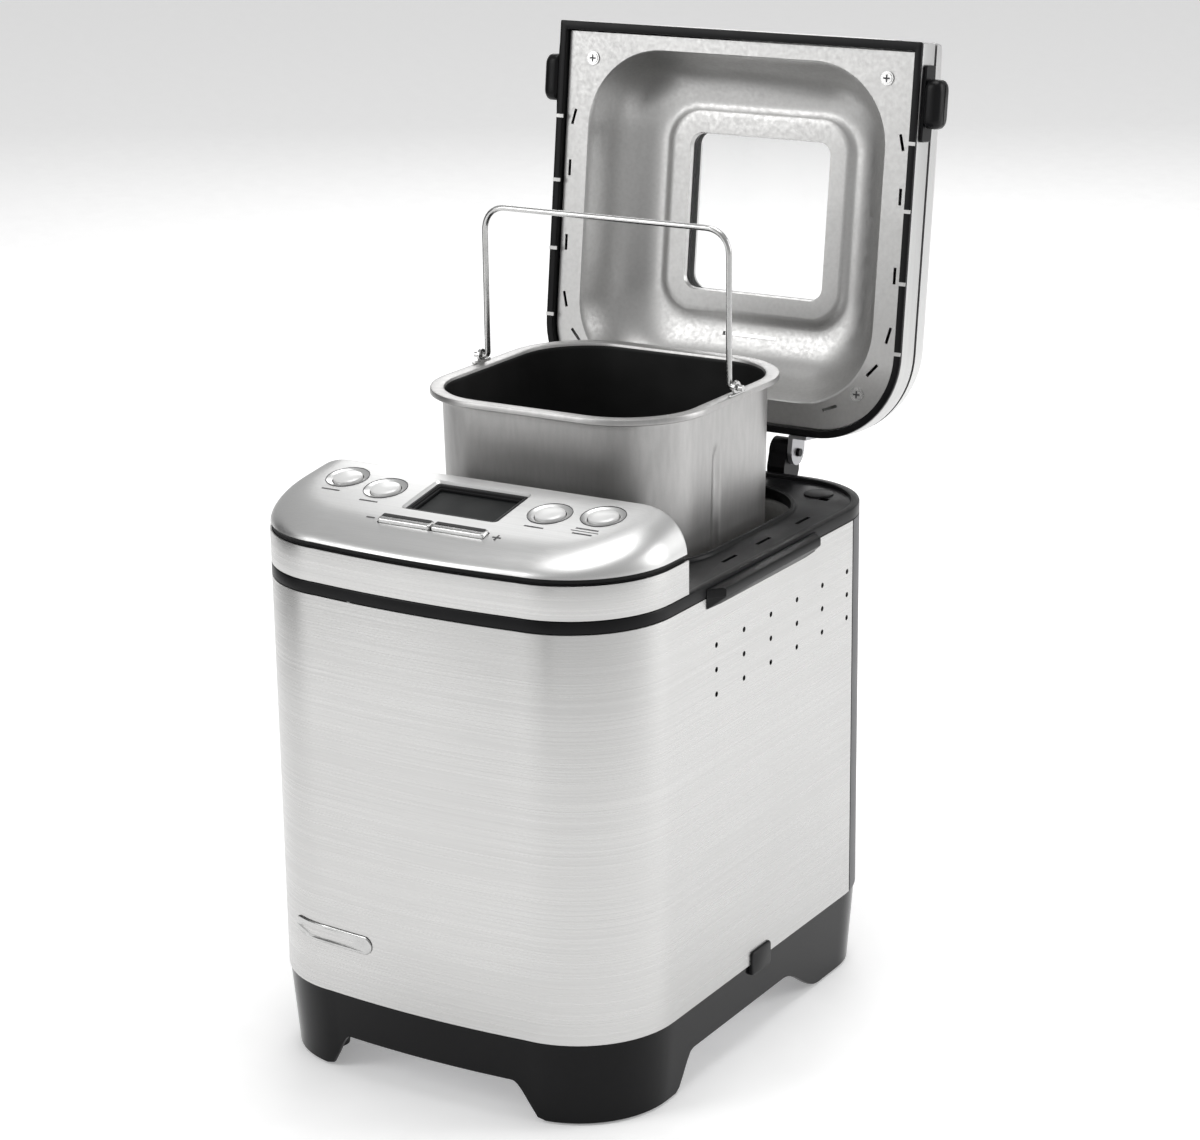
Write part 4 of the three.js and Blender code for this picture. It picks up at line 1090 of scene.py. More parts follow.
@dataclass
class Base:
    """The black base: a skirt with arches between its corners, the tray and the feet."""

    lift: float = 1.0
    taper: float = 4.0
    wall: float = 2.5
    arch_height: float = 23.0
    front_arch: tuple[float, float] = (55.0, 73.0)
    side_arch: tuple[float, float, float, float] = (-90.0, -74.0, 34.0, 84.0)
    levels: int = 10
    edge_zone: float = 25.0
    front_zone: float = 90.0

    def low_edge(self, x: float, y: float) -> float:
        """Height of the skirt's lower edge at a point of its outline."""
        top = self.arch_height
        half_x, half_y = SIZE.width / 2, SIZE.depth / 2
        if abs(y) > half_y - self.edge_zone and abs(x) < self.front_zone:
            flat, foot = self.front_arch
            return lerp(top, self.lift, smooth(flat, foot, abs(x)))
        if abs(x) > half_x - self.edge_zone:
            a, b, c, d = self.side_arch
            rise = smooth(a, b, y) * (1 - smooth(c, d, y))
            return lerp(self.lift, top, rise)
        return self.lift

    def skirt(self) -> Shape:
        """The skirt as rings whose lower part follows the arches."""
        outer = body_outline(0.0, runs=60)
        inner = body_outline(1.0, runs=60)
        low = [self.low_edge(x, y) for x, y in outer]

        def level(share: float, extra: float) -> list[Vector]:
            """A ring at a share of the height, extra further in."""
            points = []
            for p, q, z0 in zip(outer, inner, low):
                z = lerp(z0, SIZE.skirt_top, share)
                inset = 0.8 + self.taper * (1 - z / SIZE.skirt_top) + extra
                points.append(Vector((lerp(p[0], q[0], inset), lerp(p[1], q[1], inset), z)))
            return points

        steps = [k / self.levels for k in range(self.levels + 1)]
        rings = [level(0.0, 0.7)]
        rings += [level(s * 0.985 + 0.012, 0.0) for s in steps]
        rings += [level(1.0, 0.5), level(1.0, self.wall)]
        rings += [level(s, self.wall) for s in (0.6, 0.3, 0.0)]
        return Shape().loft(rings, joined=True)

    def build(self, shop: Workshop, frame: dict) -> None:
        """Builds and dresses the base."""
        skirt = self.skirt().mesh("skirt", shop.case)
        shop.add(skirt, FINISH.gloss, "chassis", ["base_skirt"], 40)
        shop.keep(frame, FINISH.zinc, ["base_tray"])
        feet = [n for n in frame["nodes"] if n.startswith("foot_")]
        shop.keep(frame, FINISH.rubber, feet)


# ---------------------------------------------------------------- case


@dataclass
class Case:
    """The brushed steel wrap, the painted back cover, the vents and the cord gland."""

    low: float = 50.5
    seam_gap: float = 1.5
    vent_radius: float = 1.6
    vent_pitch: tuple[float, float] = (31.5, 14.3)
    vent_first_y: float = -50.9
    vent_top_z: float = 257.0
    vent_columns: int = 6
    vent_rows: int = 3
    louvres: int = 8
    louvre_z: float = 192.0
    louvre_pitch: float = 9.0
    gland: tuple[float, float] = (-58.0, 78.0)
    gland_bore: float = 6.2
    badge: tuple[float, float, float, float] = (64.0, 85.0, 30.0, 5.5)

    def split(self, y: float, front: bool) -> Callable[[float, float], list[Point]]:
        """Part of the case's outline that lies before or behind depth y.

        Args:
            y: where the outline is cut, on both sides.
            front: the front part, not the back one.

        Returns:
            A function from inset to the open path, anticlockwise.
        """
        whole = body_outline(0.0)
        n = len(whole)
        down = next(i for i in range(n) if whole[i][1] > y >= whole[(i + 1) % n][1])
        up = next(i for i in range(n) if whole[i][1] <= y < whole[(i + 1) % n][1])

        def share(i: int) -> float:
            """How far along step i the cut lies."""
            a, b = whole[i][1], whole[(i + 1) % n][1]
            return (y - a) / (b - a)

        share_down, share_up = share(down), share(up)

        def cut(points: list[Point], i: int, t: float) -> Point:
            """The point at share t of step i."""
            a, b = points[i], points[(i + 1) % n]
            return (lerp(a[0], b[0], t), lerp(a[1], b[1], t))

        def path(inset: float, shift: float = 0.0) -> list[Point]:
            """The open path at that inset."""
            points = body_outline(inset)
            first = cut(points, down, share_down)
            last = cut(points, up, share_up)
            if front:
                order = [(down + 1 + k) % n for k in range((up - down) % n)]
                return [first] + [points[i] for i in order] + [last]
            order = [(up + 1 + k) % n for k in range((down - up) % n)]
            return [last] + [points[i] for i in order] + [first]

        return path

    def wall(self) -> list[Vector]:
        """Section of the sheet, with eased edges."""
        return sheet_wall(self.low, SIZE.wrap_top, 0.35)

    def vents(self, shop: Workshop) -> bpy.types.Object:
        """Pins through both side walls, to cut the vent holes."""
        job = hole_grid(FINISH.steel)
        dy, dz = self.vent_pitch[0] * MM, self.vent_pitch[1] * MM
        values = {
            "Columns": self.vent_columns,
            "Rows": self.vent_rows,
            "Column Pitch": dy,
            "Row Pitch": dz,
            "Radius": self.vent_radius * MM,
            "Length": 1.2 * SIZE.width * MM,
        }
        y = self.vent_first_y + (self.vent_columns - 1) / 2 * self.vent_pitch[0]
        z = self.vent_top_z - (self.vent_rows - 1) / 2 * self.vent_pitch[1]
        middle = Vector((0, y, z))
        turn = Matrix.Rotation(math.pi / 2, 4, "Z") @ Matrix.Rotation(math.pi / 2, 4, "X")
        place = Matrix.Translation(shop.case @ middle) @ turn
        return job.mesh("vent_pins", carrier([Vector()]), values, place)

    def build(self, shop: Workshop, frame: dict) -> None:
        """Builds and dresses the case."""
        wrap = Shape().loft(sweep(self.split(SIZE.seam_y, True), self.wall()), True, False)
        wrap_piece = shop.carve(wrap.mesh("steel_wrap", shop.case), [self.vents(shop)])
        shop.add(wrap_piece, FINISH.steel, "chassis", ["wrap_steel"])

        seam = SIZE.seam_y + self.seam_gap
        back = Shape().loft(sweep(self.split(seam, False), self.wall()), True, False)
        slots = block_row(FINISH.powder)
        heights = [self.louvre_z + k * self.louvre_pitch for k in range(self.louvres)]
        points = [Vector((0, SIZE.depth / 2, z)) for z in heights]
        sizes = block_size(10, 84, 3.4)
        place = Matrix.Translation(shop.case.translation)
        cutter = slots.mesh("louvre_slots", carrier(points), sizes, place)
        x, z = self.gland
        inlet = drill("gland_bore", self.gland_bore, (x, SIZE.depth / 2, z), 10, True)
        back_piece = shop.carve(back.mesh("rear_cover", shop.case), [cutter, inlet(shop.case)])
        shop.add(back_piece, FINISH.powder, "chassis", ["back_cover"])
        shop.keep(frame, FINISH.rubber, ["cord_gland"])

        self.build_badge(shop)
        self.build_tab(shop)

    def on_front(self, along: float, out: float, z: float) -> Vector:
        """Point on the case, by its distance along the front from the middle towards the left.

        Args:
            along: distance round the front's outline.
            out: distance in front of the steel.
            z: height.

        Returns:
            The point.
        """
        path = [p for p in body_outline(0.0) if p[0] <= 0 and p[1] < 0][::-1]
        travelled = 0.0
        for (x0, y0), (x1, y1) in zip(path, path[1:]):
            step = math.hypot(x1 - x0, y1 - y0)
            if travelled + step >= along:
                t = (along - travelled) / step
                normal = Vector((y1 - y0, x0 - x1)) / step
                spot = Vector((lerp(x0, x1, t), lerp(y0, y1, t)))
                spot -= normal * out
                return Vector((spot.x, spot.y, z))
            travelled += step
        raise ValueError("the point lies past the front")

    def build_badge(self, shop: Workshop) -> None:
        """A plain blank badge that follows the curve of the front's left corner."""
        along, z, half_x, half_z = self.badge
        rings = []
        for inset, out in ((0, 0.4), (0, 0.45), (0.25, 0.75), (0.8, 0.95), (1.6, 1.0)):
            half = half_z - inset
            corner = half - 0.1
            flat = outline(half_x - inset, -half, half, corner, corner, steps=8, runs=24)
            rings.append([self.on_front(along - u, out, z + v) for u, v in flat])
        shop.add(Shape().loft(rings).mesh("blank_badge", shop.case), FINISH.bright, "chassis")

    def build_tab(self, shop: Workshop) -> None:
        """Small black catch over the wrap's lower edge on the right side."""
        tab = plate(11.5, 7.5, 2.5, [(0, -1.5), (0, 0.5), (0.3, 1.0), (1.2, 1.3)])
        turn = Matrix.Rotation(math.pi / 2, 4, "Z") @ Matrix.Rotation(math.pi / 2, 4, "X")
        tab.moved(Matrix.Translation((SIZE.width / 2 + 0.1, 0, SIZE.skirt_top + 0.5)) @ turn)
        shop.add(tab.mesh("side_catch", shop.case), FINISH.black, "chassis")


# ---------------------------------------------------------------- deck and oven


@dataclass
class Deck:
    """The black deck round the oven's mouth, with its lip, slots, caps and side grips."""

    edge: float = 5.0
    lip: float = 3.0
    slot_rows: tuple[float, ...] = (-4.0, 36.0, 84.0)
    slot_x: float = 107.0
    hole: Point = (97.0, 130.5)
    cap_at: Point = (89.0, 139.0)
    grip_from: float = -62.0
    grip_to: float = 65.0

    def frame_shape(self) -> Shape:
        """Deck plate from its outer edge to the mouth's lip."""
        y = SIZE.chamber_y
        low, floor, top = SIZE.wrap_top + SIZE.gap, SIZE.deck_floor, SIZE.deck_top
        mouth, corner = SIZE.mouth_half, SIZE.mouth_corner

        def around(extra: float, z: float) -> list[Vector]:
            """A ring about the mouth."""
            return ring(square(mouth + extra, corner + extra, y, CORNER_STEPS, BODY_RUNS), z)

        rings = [ring(body_outline(0.4), low), ring(body_outline(0.0), low + 0.4)]
        rings += [ring(body_outline(0.0), top - 0.8), ring(body_outline(0.25), top - 0.25)]
        rings += [ring(body_outline(0.8), top), ring(body_outline(self.edge - 0.6), top)]
        rings += [ring(body_outline(self.edge), top - 0.4), ring(body_outline(self.edge + 0.5), floor + 0.3)]
        rings += [ring(body_outline(self.edge + 1.4), floor)]
        rings += [around(self.lip + 1.2, floor), around(self.lip + 0.2, floor + 0.5)]
        rings += [around(self.lip - 0.3, top - 0.4), around(self.lip - 0.9, top)]
        rings += [around(0.8, top), around(0.0, top - 0.8), around(0.0, low + 0.4), around(0.4, low)]
        return Shape().loft(rings, joined=True)

    def cap(self, sx: int) -> Shape:
        """Round cap over a screw near the back corner."""
        levels = [(8.6, -1.0), (9.0, 0.2), (8.8, 0.8), (8.0, 1.0), (3.0, 1.25), (0.01, 1.3)]
        shape = Shape().turned(levels)
        x, y = self.cap_at
        return shape.moved(Matrix.Translation((sx * x, y, SIZE.deck_floor)))

    def grip(self, sx: int) -> Shape:
        """A ledge with slanted ends and a bevelled underside."""
        wall = SIZE.width / 2 + SIZE.gap
        rings = []
        levels = [(1.2, 14, 280.5), (7.3, 8.4, 286.6), (7.7, 8, 287.3)]
        levels += [(7.7, 8, 290.6), (7.3, 7.6, 291.5), (6.3, 7, 292.0)]
        for reach, slant, z in levels:
            flat = [
                (wall, self.grip_from),
                (wall + reach, self.grip_from + slant),
                (wall + reach, self.grip_to - slant),
                (wall, self.grip_to),
            ]
            points = [Vector((sx * x, y, z)) for x, y in flat]
            rings.append(points if sx > 0 else points[::-1])
        return Shape().loft(rings)

    def build(self, shop: Workshop, frame: dict) -> None:
        """Builds and dresses the deck."""
        slots = block_row(FINISH.black)
        place = Matrix.Translation(shop.case.translation)
        spots = [Vector((sx * self.slot_x, y, SIZE.deck_floor)) for sx in (-1, 1) for y in self.slot_rows]
        long_slots = slots.mesh("deck_slots", carrier(spots), block_size(16, 2.4, 3), place)
        x, y = self.hole
        spots = [Vector((sx * x, y, SIZE.deck_floor)) for sx in (-1, 1)]
        holes = slots.mesh("deck_holes", carrier(spots), block_size(5, 6, 3), place)
        deck = shop.carve(self.frame_shape().mesh("deck", shop.case), [long_slots, holes])
        shop.add(deck, FINISH.black, "chassis", ["deck_frame"], 40)
        for side, sx in SIDES:
            shop.add(self.cap(sx).mesh(f"deck_cap_{side}", shop.case), FINISH.black, "chassis")
            grip = self.grip(sx).mesh(f"grip_ledge_{side}", shop.case)
            shop.add(grip, FINISH.black, "chassis", [f"side_grip_{side}"])


@dataclass
class Oven:
    """The baking chamber with its heating element, seat and temperature probe."""

    half: float = 97.0
    corner: float = 54.0
    floor: float = 108.0
    element_z: float = 126.0
    element_radius: float = 3.2
    element_half: float = 88.0
    sheet: float = 0.9
    leg_x: float = 12.0
    leg_reach: float = 26.0
    probe: Point = (48.0, 170.0)
    seat_bore: float = 14.0
    probe_bore: float = 2.6

    def liner(self) -> Shape:
        """Pressed tub with a rolled brim under the deck."""
        top = SIZE.wrap_top - SIZE.gap
        t = self.sheet
        levels = [(8, self.floor), (2.4, self.floor + 2.4), (0, self.floor + 8), (0, top - 3 - t)]
        levels += [(-2, top - t), (-5, top - t), (-5, top), (-1.5, top), (t, top - 3)]
        levels += [(t, self.floor + 8), (2.4 + t, self.floor + 2.4 + t), (8 + t, self.floor + t)]
        rings = []
        for inset, z in levels:
            rings.append(ring(square(self.half - inset, self.corner - inset, SIZE.chamber_y, 18, 4), z))
        return Shape().loft(rings)

    def element(self) -> Shape:
        """The round bar that heats the chamber, with its legs through the front wall."""
        h = self.element_half
        front = SIZE.chamber_y - h + 4
        back = SIZE.chamber_y + h
        x, end = self.leg_x, front - self.leg_reach
        flat = [(-x, end), (-x, front), (-h, front), (-h, back)]
        flat += [(h, back), (h, front), (x, front), (x, end)]
        points = [Vector((px, py, self.element_z)) for px, py in flat]
        line = bent(points, [10, 50, 50, 50, 50, 10], 14)
        turn = Matrix.Rotation(math.pi / 2, 4, "X")
        upright = [turn.inverted() @ p for p in line]
        return Shape().tube(upright, self.element_radius, 12).moved(turn)

    def build(self, shop: Workshop, frame: dict) -> None:
        """Builds and dresses the oven."""
        front = SIZE.chamber_y - self.half
        bores = [drill("shaft_bore", self.seat_bore, (0, SIZE.chamber_y, self.floor), 5, False)]
        for side in (-1, 1):
            legs = (self.leg_x * side, front, self.element_z)
            bores.append(drill("leg_bore", self.element_radius + 1, legs, 6, True))
        x, z = self.probe
        bores.append(drill("probe_bore", self.probe_bore, (x, front, z), 6, True))
        cutters = [bore(shop.case) for bore in bores]
        liner = shop.carve(self.liner().mesh("oven_tub", shop.case), cutters)
        shop.add(liner, FINISH.chamber, "chassis", ["chamber_liner"], 50)
        bar = self.element().mesh("heater_bar", shop.case)
        shop.add(bar, FINISH.zinc, "chassis", ["heating_element"], 50)
        shop.keep(frame, FINISH.chamber, ["pan_seat", "temperature_probe"])
        shop.keep(frame, FINISH.cast, ["bearing_housing"])
        shop.keep(frame, FINISH.zinc, ["drive_plate", "motor"])
        shop.keep(frame, FINISH.black, ["drive_pulley"])
        shop.keep(frame, FINISH.bright, ["drive_shaft", "motor_pulley"])
        shop.keep(frame, FINISH.rubber, ["belt"])


# ---------------------------------------------------------------- control section


@dataclass
class ControlPanel:
    """Steel band, black tub, crowned silver cover, display, push buttons and keys."""

    buttons: tuple[tuple[str, float, float], ...] = (
        ("program", -84.0, -101.0),
        ("colour", -54.0, -107.0),
        ("size", 54.0, -107.0),
        ("start", 84.0, -101.0),
    )
    button_radius: float = 8.5
    dish_radius: float = 12.6
    dish_depth: float = 1.3
    display_half: tuple[float, float] = (29.5, 17.0)
    display_y: float = -107.0
    key_y: float = -140.0
    key_half: tuple[float, float] = (16.8, 3.4)
    key_gap: float = 0.6
    back_set: float = 1.6
    bar_steps: tuple[float, float, float] = (16.6, 19.4, 22.2)
    sign_x: float = 41.0
    levels: int = 12

    def band(self) -> Shape:
        """Steel band round the front and sides of the section, open at its back."""
        section = sheet_wall(SIZE.deck_top + SIZE.gap, SIZE.band_top, 0.3)

        def path(inset: float, shift: float) -> list[Point]:
            """The outline without its straight back."""
            points = control_outline(inset)
            corner = CORNER_STEPS + 1
            run = PANEL_RUNS - 1
            first = corner + run + corner - 1
            return points[first:] + points[:1]

        return Shape().loft(sweep(path, section), True, False)

    def housing(self) -> Shape:
        """Black tub that shows as the dark line under the cover."""
        low, top = SIZE.deck_top + SIZE.gap, SIZE.cover_edge - SIZE.gap
        inset = SIZE.sheet + SIZE.gap
        back = self.back_set
        section = [(inset, back, low), (inset, back, SIZE.band_top + 0.2)]
        section += [(inset + 0.9, back, SIZE.band_top + 1), (inset + 0.9, back, top)]
        section += [(inset + 4, 5, top), (inset + 4, 5, low + 2)]
        rings = [ring(control_outline(a, b), z) for a, b, z in section]
        return Shape().loft(rings)

    def cover(self) -> Shape:
        """The cover: a pillowed margin at its front and sides, then flat to its middle line."""
        margin = [(k / 20) ** 1.6 for k in range(21)]
        rings = [ring(control_outline(SIZE.edge_inset + 2.5, 4.0), SIZE.cover_edge)]
        for t in margin:
            flat = control_outline(SIZE.edge_inset + t * SIZE.pillow, self.back_set)
            rings.append([Vector((x, y, SIZE.pillow_height(t * SIZE.pillow, y))) for x, y in flat])
        edge = control_outline(SIZE.edge_inset + SIZE.pillow, self.back_set)
        middle = (edge[0][1] + min(y for _, y in edge)) / 2
        reach = SIZE.width / 2 - 2 * SIZE.pillow
        for k in range(1, self.levels + 1):
            t = k / self.levels
            points = []
            for x, y in edge:
                py = lerp(y, middle, t)
                points.append(Vector((lerp(x, min(max(x, -reach), reach), t), py, SIZE.crown(py))))
            rings.append(points)
        return Shape().loft(rings)

    def dish(self) -> Shape:
        """The hollow round a button, as a cutting shape."""
        r, d = self.dish_radius, self.dish_depth
        profile = [(0.02, -d), (r - 4.2, -d), (r - 2.4, -0.75 * d), (r - 1.0, -0.35 * d)]
        profile += [(r - 0.2, 0.1), (r, 0.5), (r, 6), (0.02, 6)]
        return Shape().turned(profile, 72)

    def button(self) -> Shape:
        """A domed push button."""
        r = self.button_radius
        profile = [(r - 0.4, -7), (r, -6.6), (r, -0.5), (r - 0.25, 0.25), (r - 0.9, 0.7)]
        profile += [(r - 2.4, 1.05), (r - 4.5, 1.3), (1.5, 1.42), (0.02, 1.43)]
        return Shape().turned(profile, 56)

    def painted_shade_ring(self) -> Shape:
        """Fine ring, half sunk and half raised, at the edge of a button's dish; its dark colour is painted
        shade for the shadowed line at the dish's edge.
        """
        r = self.dish_radius - 0.1
        rings = []
        for a in range(12):
            turn = -math.tau * a / 12
            radius, z = r + 0.24 * math.cos(turn), 0.05 - 0.24 * math.sin(turn)
            spots = [math.tau * i / 56 for i in range(56)]
            rings.append([Vector((radius * math.cos(s), radius * math.sin(s), z)) for s in spots])
        return Shape().loft(rings, joined=True)

    def display_frame(self) -> Shape:
        """Black surround of the display, sloping in to the glass."""
        hx, hy = self.display_half
        section = [(0.0, -6.0), (0.0, -1.5), (0.3, -1.2), (1.2, -1.2), (1.5, -1.6), (2.2, -1.8)]
        section += [(2.4, -2.4), (3.4, -2.6), (3.8, -3.6), (3.8, -6.0)]
        rings = []
        for inset, z in section:
            flat = outline(hx - inset, -hy + inset, hy - inset, 1.2, 1.2, steps=5, runs=2)
            rings.append(ring(flat, z))
        return Shape().loft(rings, joined=True)

    def build(self, shop: Workshop, frame: dict) -> None:
        """Builds and dresses the control section."""
        shop.add(self.band().mesh("panel_band", shop.case), FINISH.steel, "chassis", ["control_band"])
        tub = self.housing().mesh("panel_tub", shop.case)
        shop.add(tub, FINISH.black, "chassis", ["control_housing"])
        self.build_cover(shop)
        surround = self.display_frame().moved(on_crown(0, self.display_y))
        shop.add(surround.mesh("display_frame", shop.case), FINISH.black, "chassis", ["lcd_frame"])
        hx, hy = self.display_half
        glass = plate(hx - 4.0, hy - 4.0, 1.0, [(0, -5), (0, -3.9), (0.3, -3.7)])
        glass.moved(on_crown(0, self.display_y))
        shop.add(glass.mesh("display_glass", shop.case), FINISH.display, "chassis", ["lcd_lens"])
        shop.keep(frame, FINISH.board, ["control_board"])
        for name, x, y in self.buttons:
            place = on_crown(x, y)
            cap = self.button().moved(place).mesh(f"push_{name}", shop.case)
            shop.add(cap, FINISH.pearl, f"button_{name}_body", [f"button_{name}"])
            # dark ring of painted shade at the edge of each button's dish
            shade_ring = self.painted_shade_ring().moved(place).mesh(f"dish_shade_ring_{name}", shop.case)
            shop.add(shade_ring, FINISH.print, "chassis", [], 60)
        self.build_keys(shop)
        self.build_marks(shop)

    def build_cover(self, shop: Workshop) -> None:
        """The silver cover with its pockets cut out."""
        pockets = []
        for name, x, y in self.buttons:
            pockets.append(self.dish().moved(on_crown(x, y)).mesh("dish_" + name, shop.case))
            bore = Shape().turned([(self.button_radius + 0.6, -9), (self.button_radius + 0.6, 9)], 56)
            pockets.append(bore.moved(on_crown(x, y)).mesh("bore_" + name, shop.case))
        hx, hy = self.display_half
        flare = [(0, -7), (0, -1.3), (-0.4, -1.1), (-2.3, 0.3), (-2.3, 9)]
        well = plate(hx + SIZE.gap, hy + SIZE.gap, 1.4, flare)
        pockets.append(well.moved(on_crown(0, self.display_y)).mesh("display_well", shop.case))
        long = 2 * self.key_half[0] + self.key_gap + 2 * SIZE.gap
        slot = plate(long, self.key_half[1] + 0.5, 1.2, [(0, -9), (0, 9)])
        pockets.append(slot.moved(on_crown(0, self.key_y)).mesh("key_slot", shop.case))
        cover = shop.carve(self.cover().mesh("panel_cover", shop.case), pockets)
        shop.add(cover, FINISH.cover, "chassis", ["control_cover"], 28)

    def build_keys(self, shop: Workshop) -> None:
        """Two long keys side by side."""
        hx, hy = self.key_half
        levels = [(0.2, -6), (0, -5.8), (0, 1.3), (0.2, 1.8), (0.6, 2.1), (1.2, 2.2)]
        for name, sx in (("minus", -1), ("plus", 1)):
            place = on_crown(0, self.key_y) @ Matrix.Translation((sx * (hx + self.key_gap), 0, 0))
            key = plate(hx, hy, 1.2, levels).moved(place)
            inlay = plate(hx - 0.9, 1.55, 0.7, [(0, 1.9), (0, 2.3), (0.2, 2.45)])
            inlay.moved(Matrix.Translation((0, 1.35, 0))).moved(place)
            body = f"key_{name}_body"
            shop.add(inlay.mesh(f"key_inlay_{name}", shop.case), FINISH.black, body)
            shop.add(key.mesh(f"long_key_{name}", shop.case), FINISH.bright, body, [f"key_{name}"])

    def build_marks(self, shop: Workshop) -> None:
        """Plain printed bars beside the buttons, and the minus and plus signs."""
        marks = Shape()
        bars = [(-self.sign_x, self.key_y, 2.6, 0.45), (self.sign_x, self.key_y, 2.6, 0.45)]
        bars.append((self.sign_x, self.key_y, 0.45, 2.6))
        first, second, third = self.bar_steps
        for name, x, y in self.buttons:
            half = 6.0 if name != "start" else 7.0
            bars.append((x, y - first, half, 0.55))
            if name == "start":
                bars.append((x, y - second, half + 1.5, 0.22))
                bars.append((x, y - third, half - 1.0, 0.55))
        for x, y, hx, hy in bars:
            marks.joined_to(Shape().block((-hx, -hy, -0.3), (hx, hy, 0.12)).moved(on_crown(x, y)))
        shop.add(marks.mesh("printed_bars", shop.case), FINISH.print, "chassis")


# ---------------------------------------------------------------- lid


@dataclass
class Lid:
    """The open lid: black frame, steel band, silver cover, liner, window, grips and screws."""

    frame_bottom: float = 295.2
    band_above: float = 2.0
    liner_z: float = 299.5
    liner_thick: float = 1.2
    liner_half: float = 119.5
    liner_front: float = 6.5
    bowl_half: float = 103.5
    bowl_corner: float = 50.0
    bowl_depth: float = 38.0
    land_half: float = 62.0
    land_corner: float = 20.0
    window_half: float = 48.5
    window_corner: float = 8.0
    window_y: float = 36.5
    pane: float = 2.0
    lap: float = 5.0
    grip_y: float = -41.5
    steam_y: float = 111.6
    vent_y: float = 113.2
    vent_rows: int = 3
    vent_pitch: float = 7.0
    land_share: float = 0.945
    strip: tuple[float, float] = (-62.0, 104.0)
    slots: tuple[tuple[float, float, float], ...] = (
        (114.1, -18.0, 14.0),
        (115.5, 14.0, 0.0),
        (115.4, 61.0, 0.0),
        (114.0, 97.0, -14.0),
        (104.8, 119.0, -42.0),
        (78.0, 145.0, -68.0),
    )
    screws: tuple[tuple[float, float], ...] = ((101.9, -55.0), (96.0, 134.5))
    tabs: tuple[float, ...] = (-18.0, 22.0, 65.0, 107.0)
    bowl: tuple[tuple[float, float], ...] = (
        (0.0, 0.0),
        (0.012, 0.012),
        (0.03, 0.05),
        (0.055, 0.13),
        (0.09, 0.25),
        (0.14, 0.4),
        (0.2, 0.54),
        (0.28, 0.67),
        (0.38, 0.79),
        (0.5, 0.885),
        (0.63, 0.95),
        (0.76, 0.985),
        (0.86, 1.0),
        (0.92, 0.992),
        (0.97, 0.965),
        (1.0, 0.95),
        (1.06, 0.945),
    )

    @staticmethod
    def fine_square(half: float, corner: float, y: float) -> list[Point]:
        """Round square with as many points as the lid's outline."""
        return square(half, corner, y, CORNER_STEPS, LID_RUNS)

    def liner(self) -> Shape:
        """Pressed liner: flat margin, deep bowl, raised land round the window."""

        def face(lift: float) -> Rings:
            """Rings from the outer edge to the window's opening."""
            edge = SIZE.width / 2 - self.liner_half
            rings = [ring(lid_outline(edge, self.liner_front), self.liner_z + lift)]
            rim = self.fine_square(self.bowl_half + 1.5, self.bowl_corner + 1.5, SIZE.chamber_y)
            rings.append(ring(rim, self.liner_z + lift))
            for across, down in self.bowl:
                half = lerp(self.bowl_half, self.land_half, across)
                corner = lerp(self.bowl_corner, self.land_corner, across)
                y = lerp(SIZE.chamber_y, self.window_y, min(across, 1.0))
                z = self.liner_z + down * self.bowl_depth + lift
                rings.append(ring(self.fine_square(half, corner, y), z))
            hole = self.fine_square(self.window_half + 0.8, self.window_corner + 0.8, self.window_y)
            low = self.liner_z + self.land_share * self.bowl_depth
            rings.append(ring(hole, low + lift))
            inner = self.fine_square(self.window_half, self.window_corner, self.window_y)
            rings.append(ring(inner, self.liner_z + self.bowl_depth + lift))
            return rings

        lower = face(0.0)
        upper = face(self.liner_thick)
        return Shape().loft(upper + lower[::-1], joined=True)

    def frame_shape(self) -> Shape:
        """Black frame between the liner and the steel band."""
        low, band_low = self.frame_bottom, self.frame_bottom + self.band_above
        wall = SIZE.sheet + SIZE.gap
        top = SIZE.cover_edge - SIZE.gap
        inner = SIZE.width / 2 - self.liner_half - 3 * SIZE.gap
        section = [
            (0.2, 0.2, low),
            (0.2, 0.2, band_low - SIZE.gap),
            (wall, 1.0, band_low - SIZE.gap),
            (wall, 1.0, SIZE.band_top),
            (wall + 0.5, 1.5, SIZE.band_top + 0.6),
            (wall + 0.5, 1.5, top),
            (inner, 5.5, top),
            (inner, 5.5, low),
        ]
        return Shape().loft(sweep(lid_outline, soften(section, 0.5)), joined=True)

    def band(self) -> Shape:
        """Steel band round the sides and back of the lid, open at its front."""
        section = sheet_wall(self.frame_bottom + self.band_above, SIZE.band_top, 0.3)

        def path(inset: float, shift: float) -> list[Point]:
            """The outline without its straight front."""
            points = lid_outline(inset)
            corner = CORNER_STEPS + 1
            run = LID_RUNS - 1
            cut_at = 2 * (corner + run)
            after = cut_at + corner + run + corner - 1
            return points[after:] + points[: cut_at + 1]

        return Shape().loft(sweep(path, section), True, False)

    def cover(self) -> Shape:
        """Silver outer cover with the window's opening."""
        top = SIZE.crown(self.window_y)

        def face(inset: float, drop: float, shares: Sequence[float]) -> Rings:
            """Rings from the cover's edge to the window."""
            edge = lid_outline(inset, inset)
            hole = self.fine_square(self.window_half + 1, self.window_corner + 1, self.window_y)
            rings = []
            for t in shares:
                points = []
                for (x, y), (wx, wy) in zip(edge, hole):
                    px, py = lerp(x, wx, t), lerp(y, wy, t)
                    distance = t * math.hypot(x - wx, y - wy)
                    z = SIZE.pillow_height(distance, py)
                    points.append(Vector((px, py, lerp(z, top, smooth(0.7, 1.0, t)) - drop)))
                rings.append(points)
            return rings

        fine = [(k / 22) ** 1.3 for k in range(23)]
        outer = face(SIZE.edge_inset, 0.0, fine)
        inner = face(SIZE.edge_inset + 2, 2.0, [0.12, 0.25, 0.4, 0.6, 0.8, 1.0])
        rim = ring(lid_outline(SIZE.edge_inset + 2, SIZE.edge_inset + 2), SIZE.cover_edge)
        return Shape().loft(outer + inner[::-1] + [rim], joined=True)

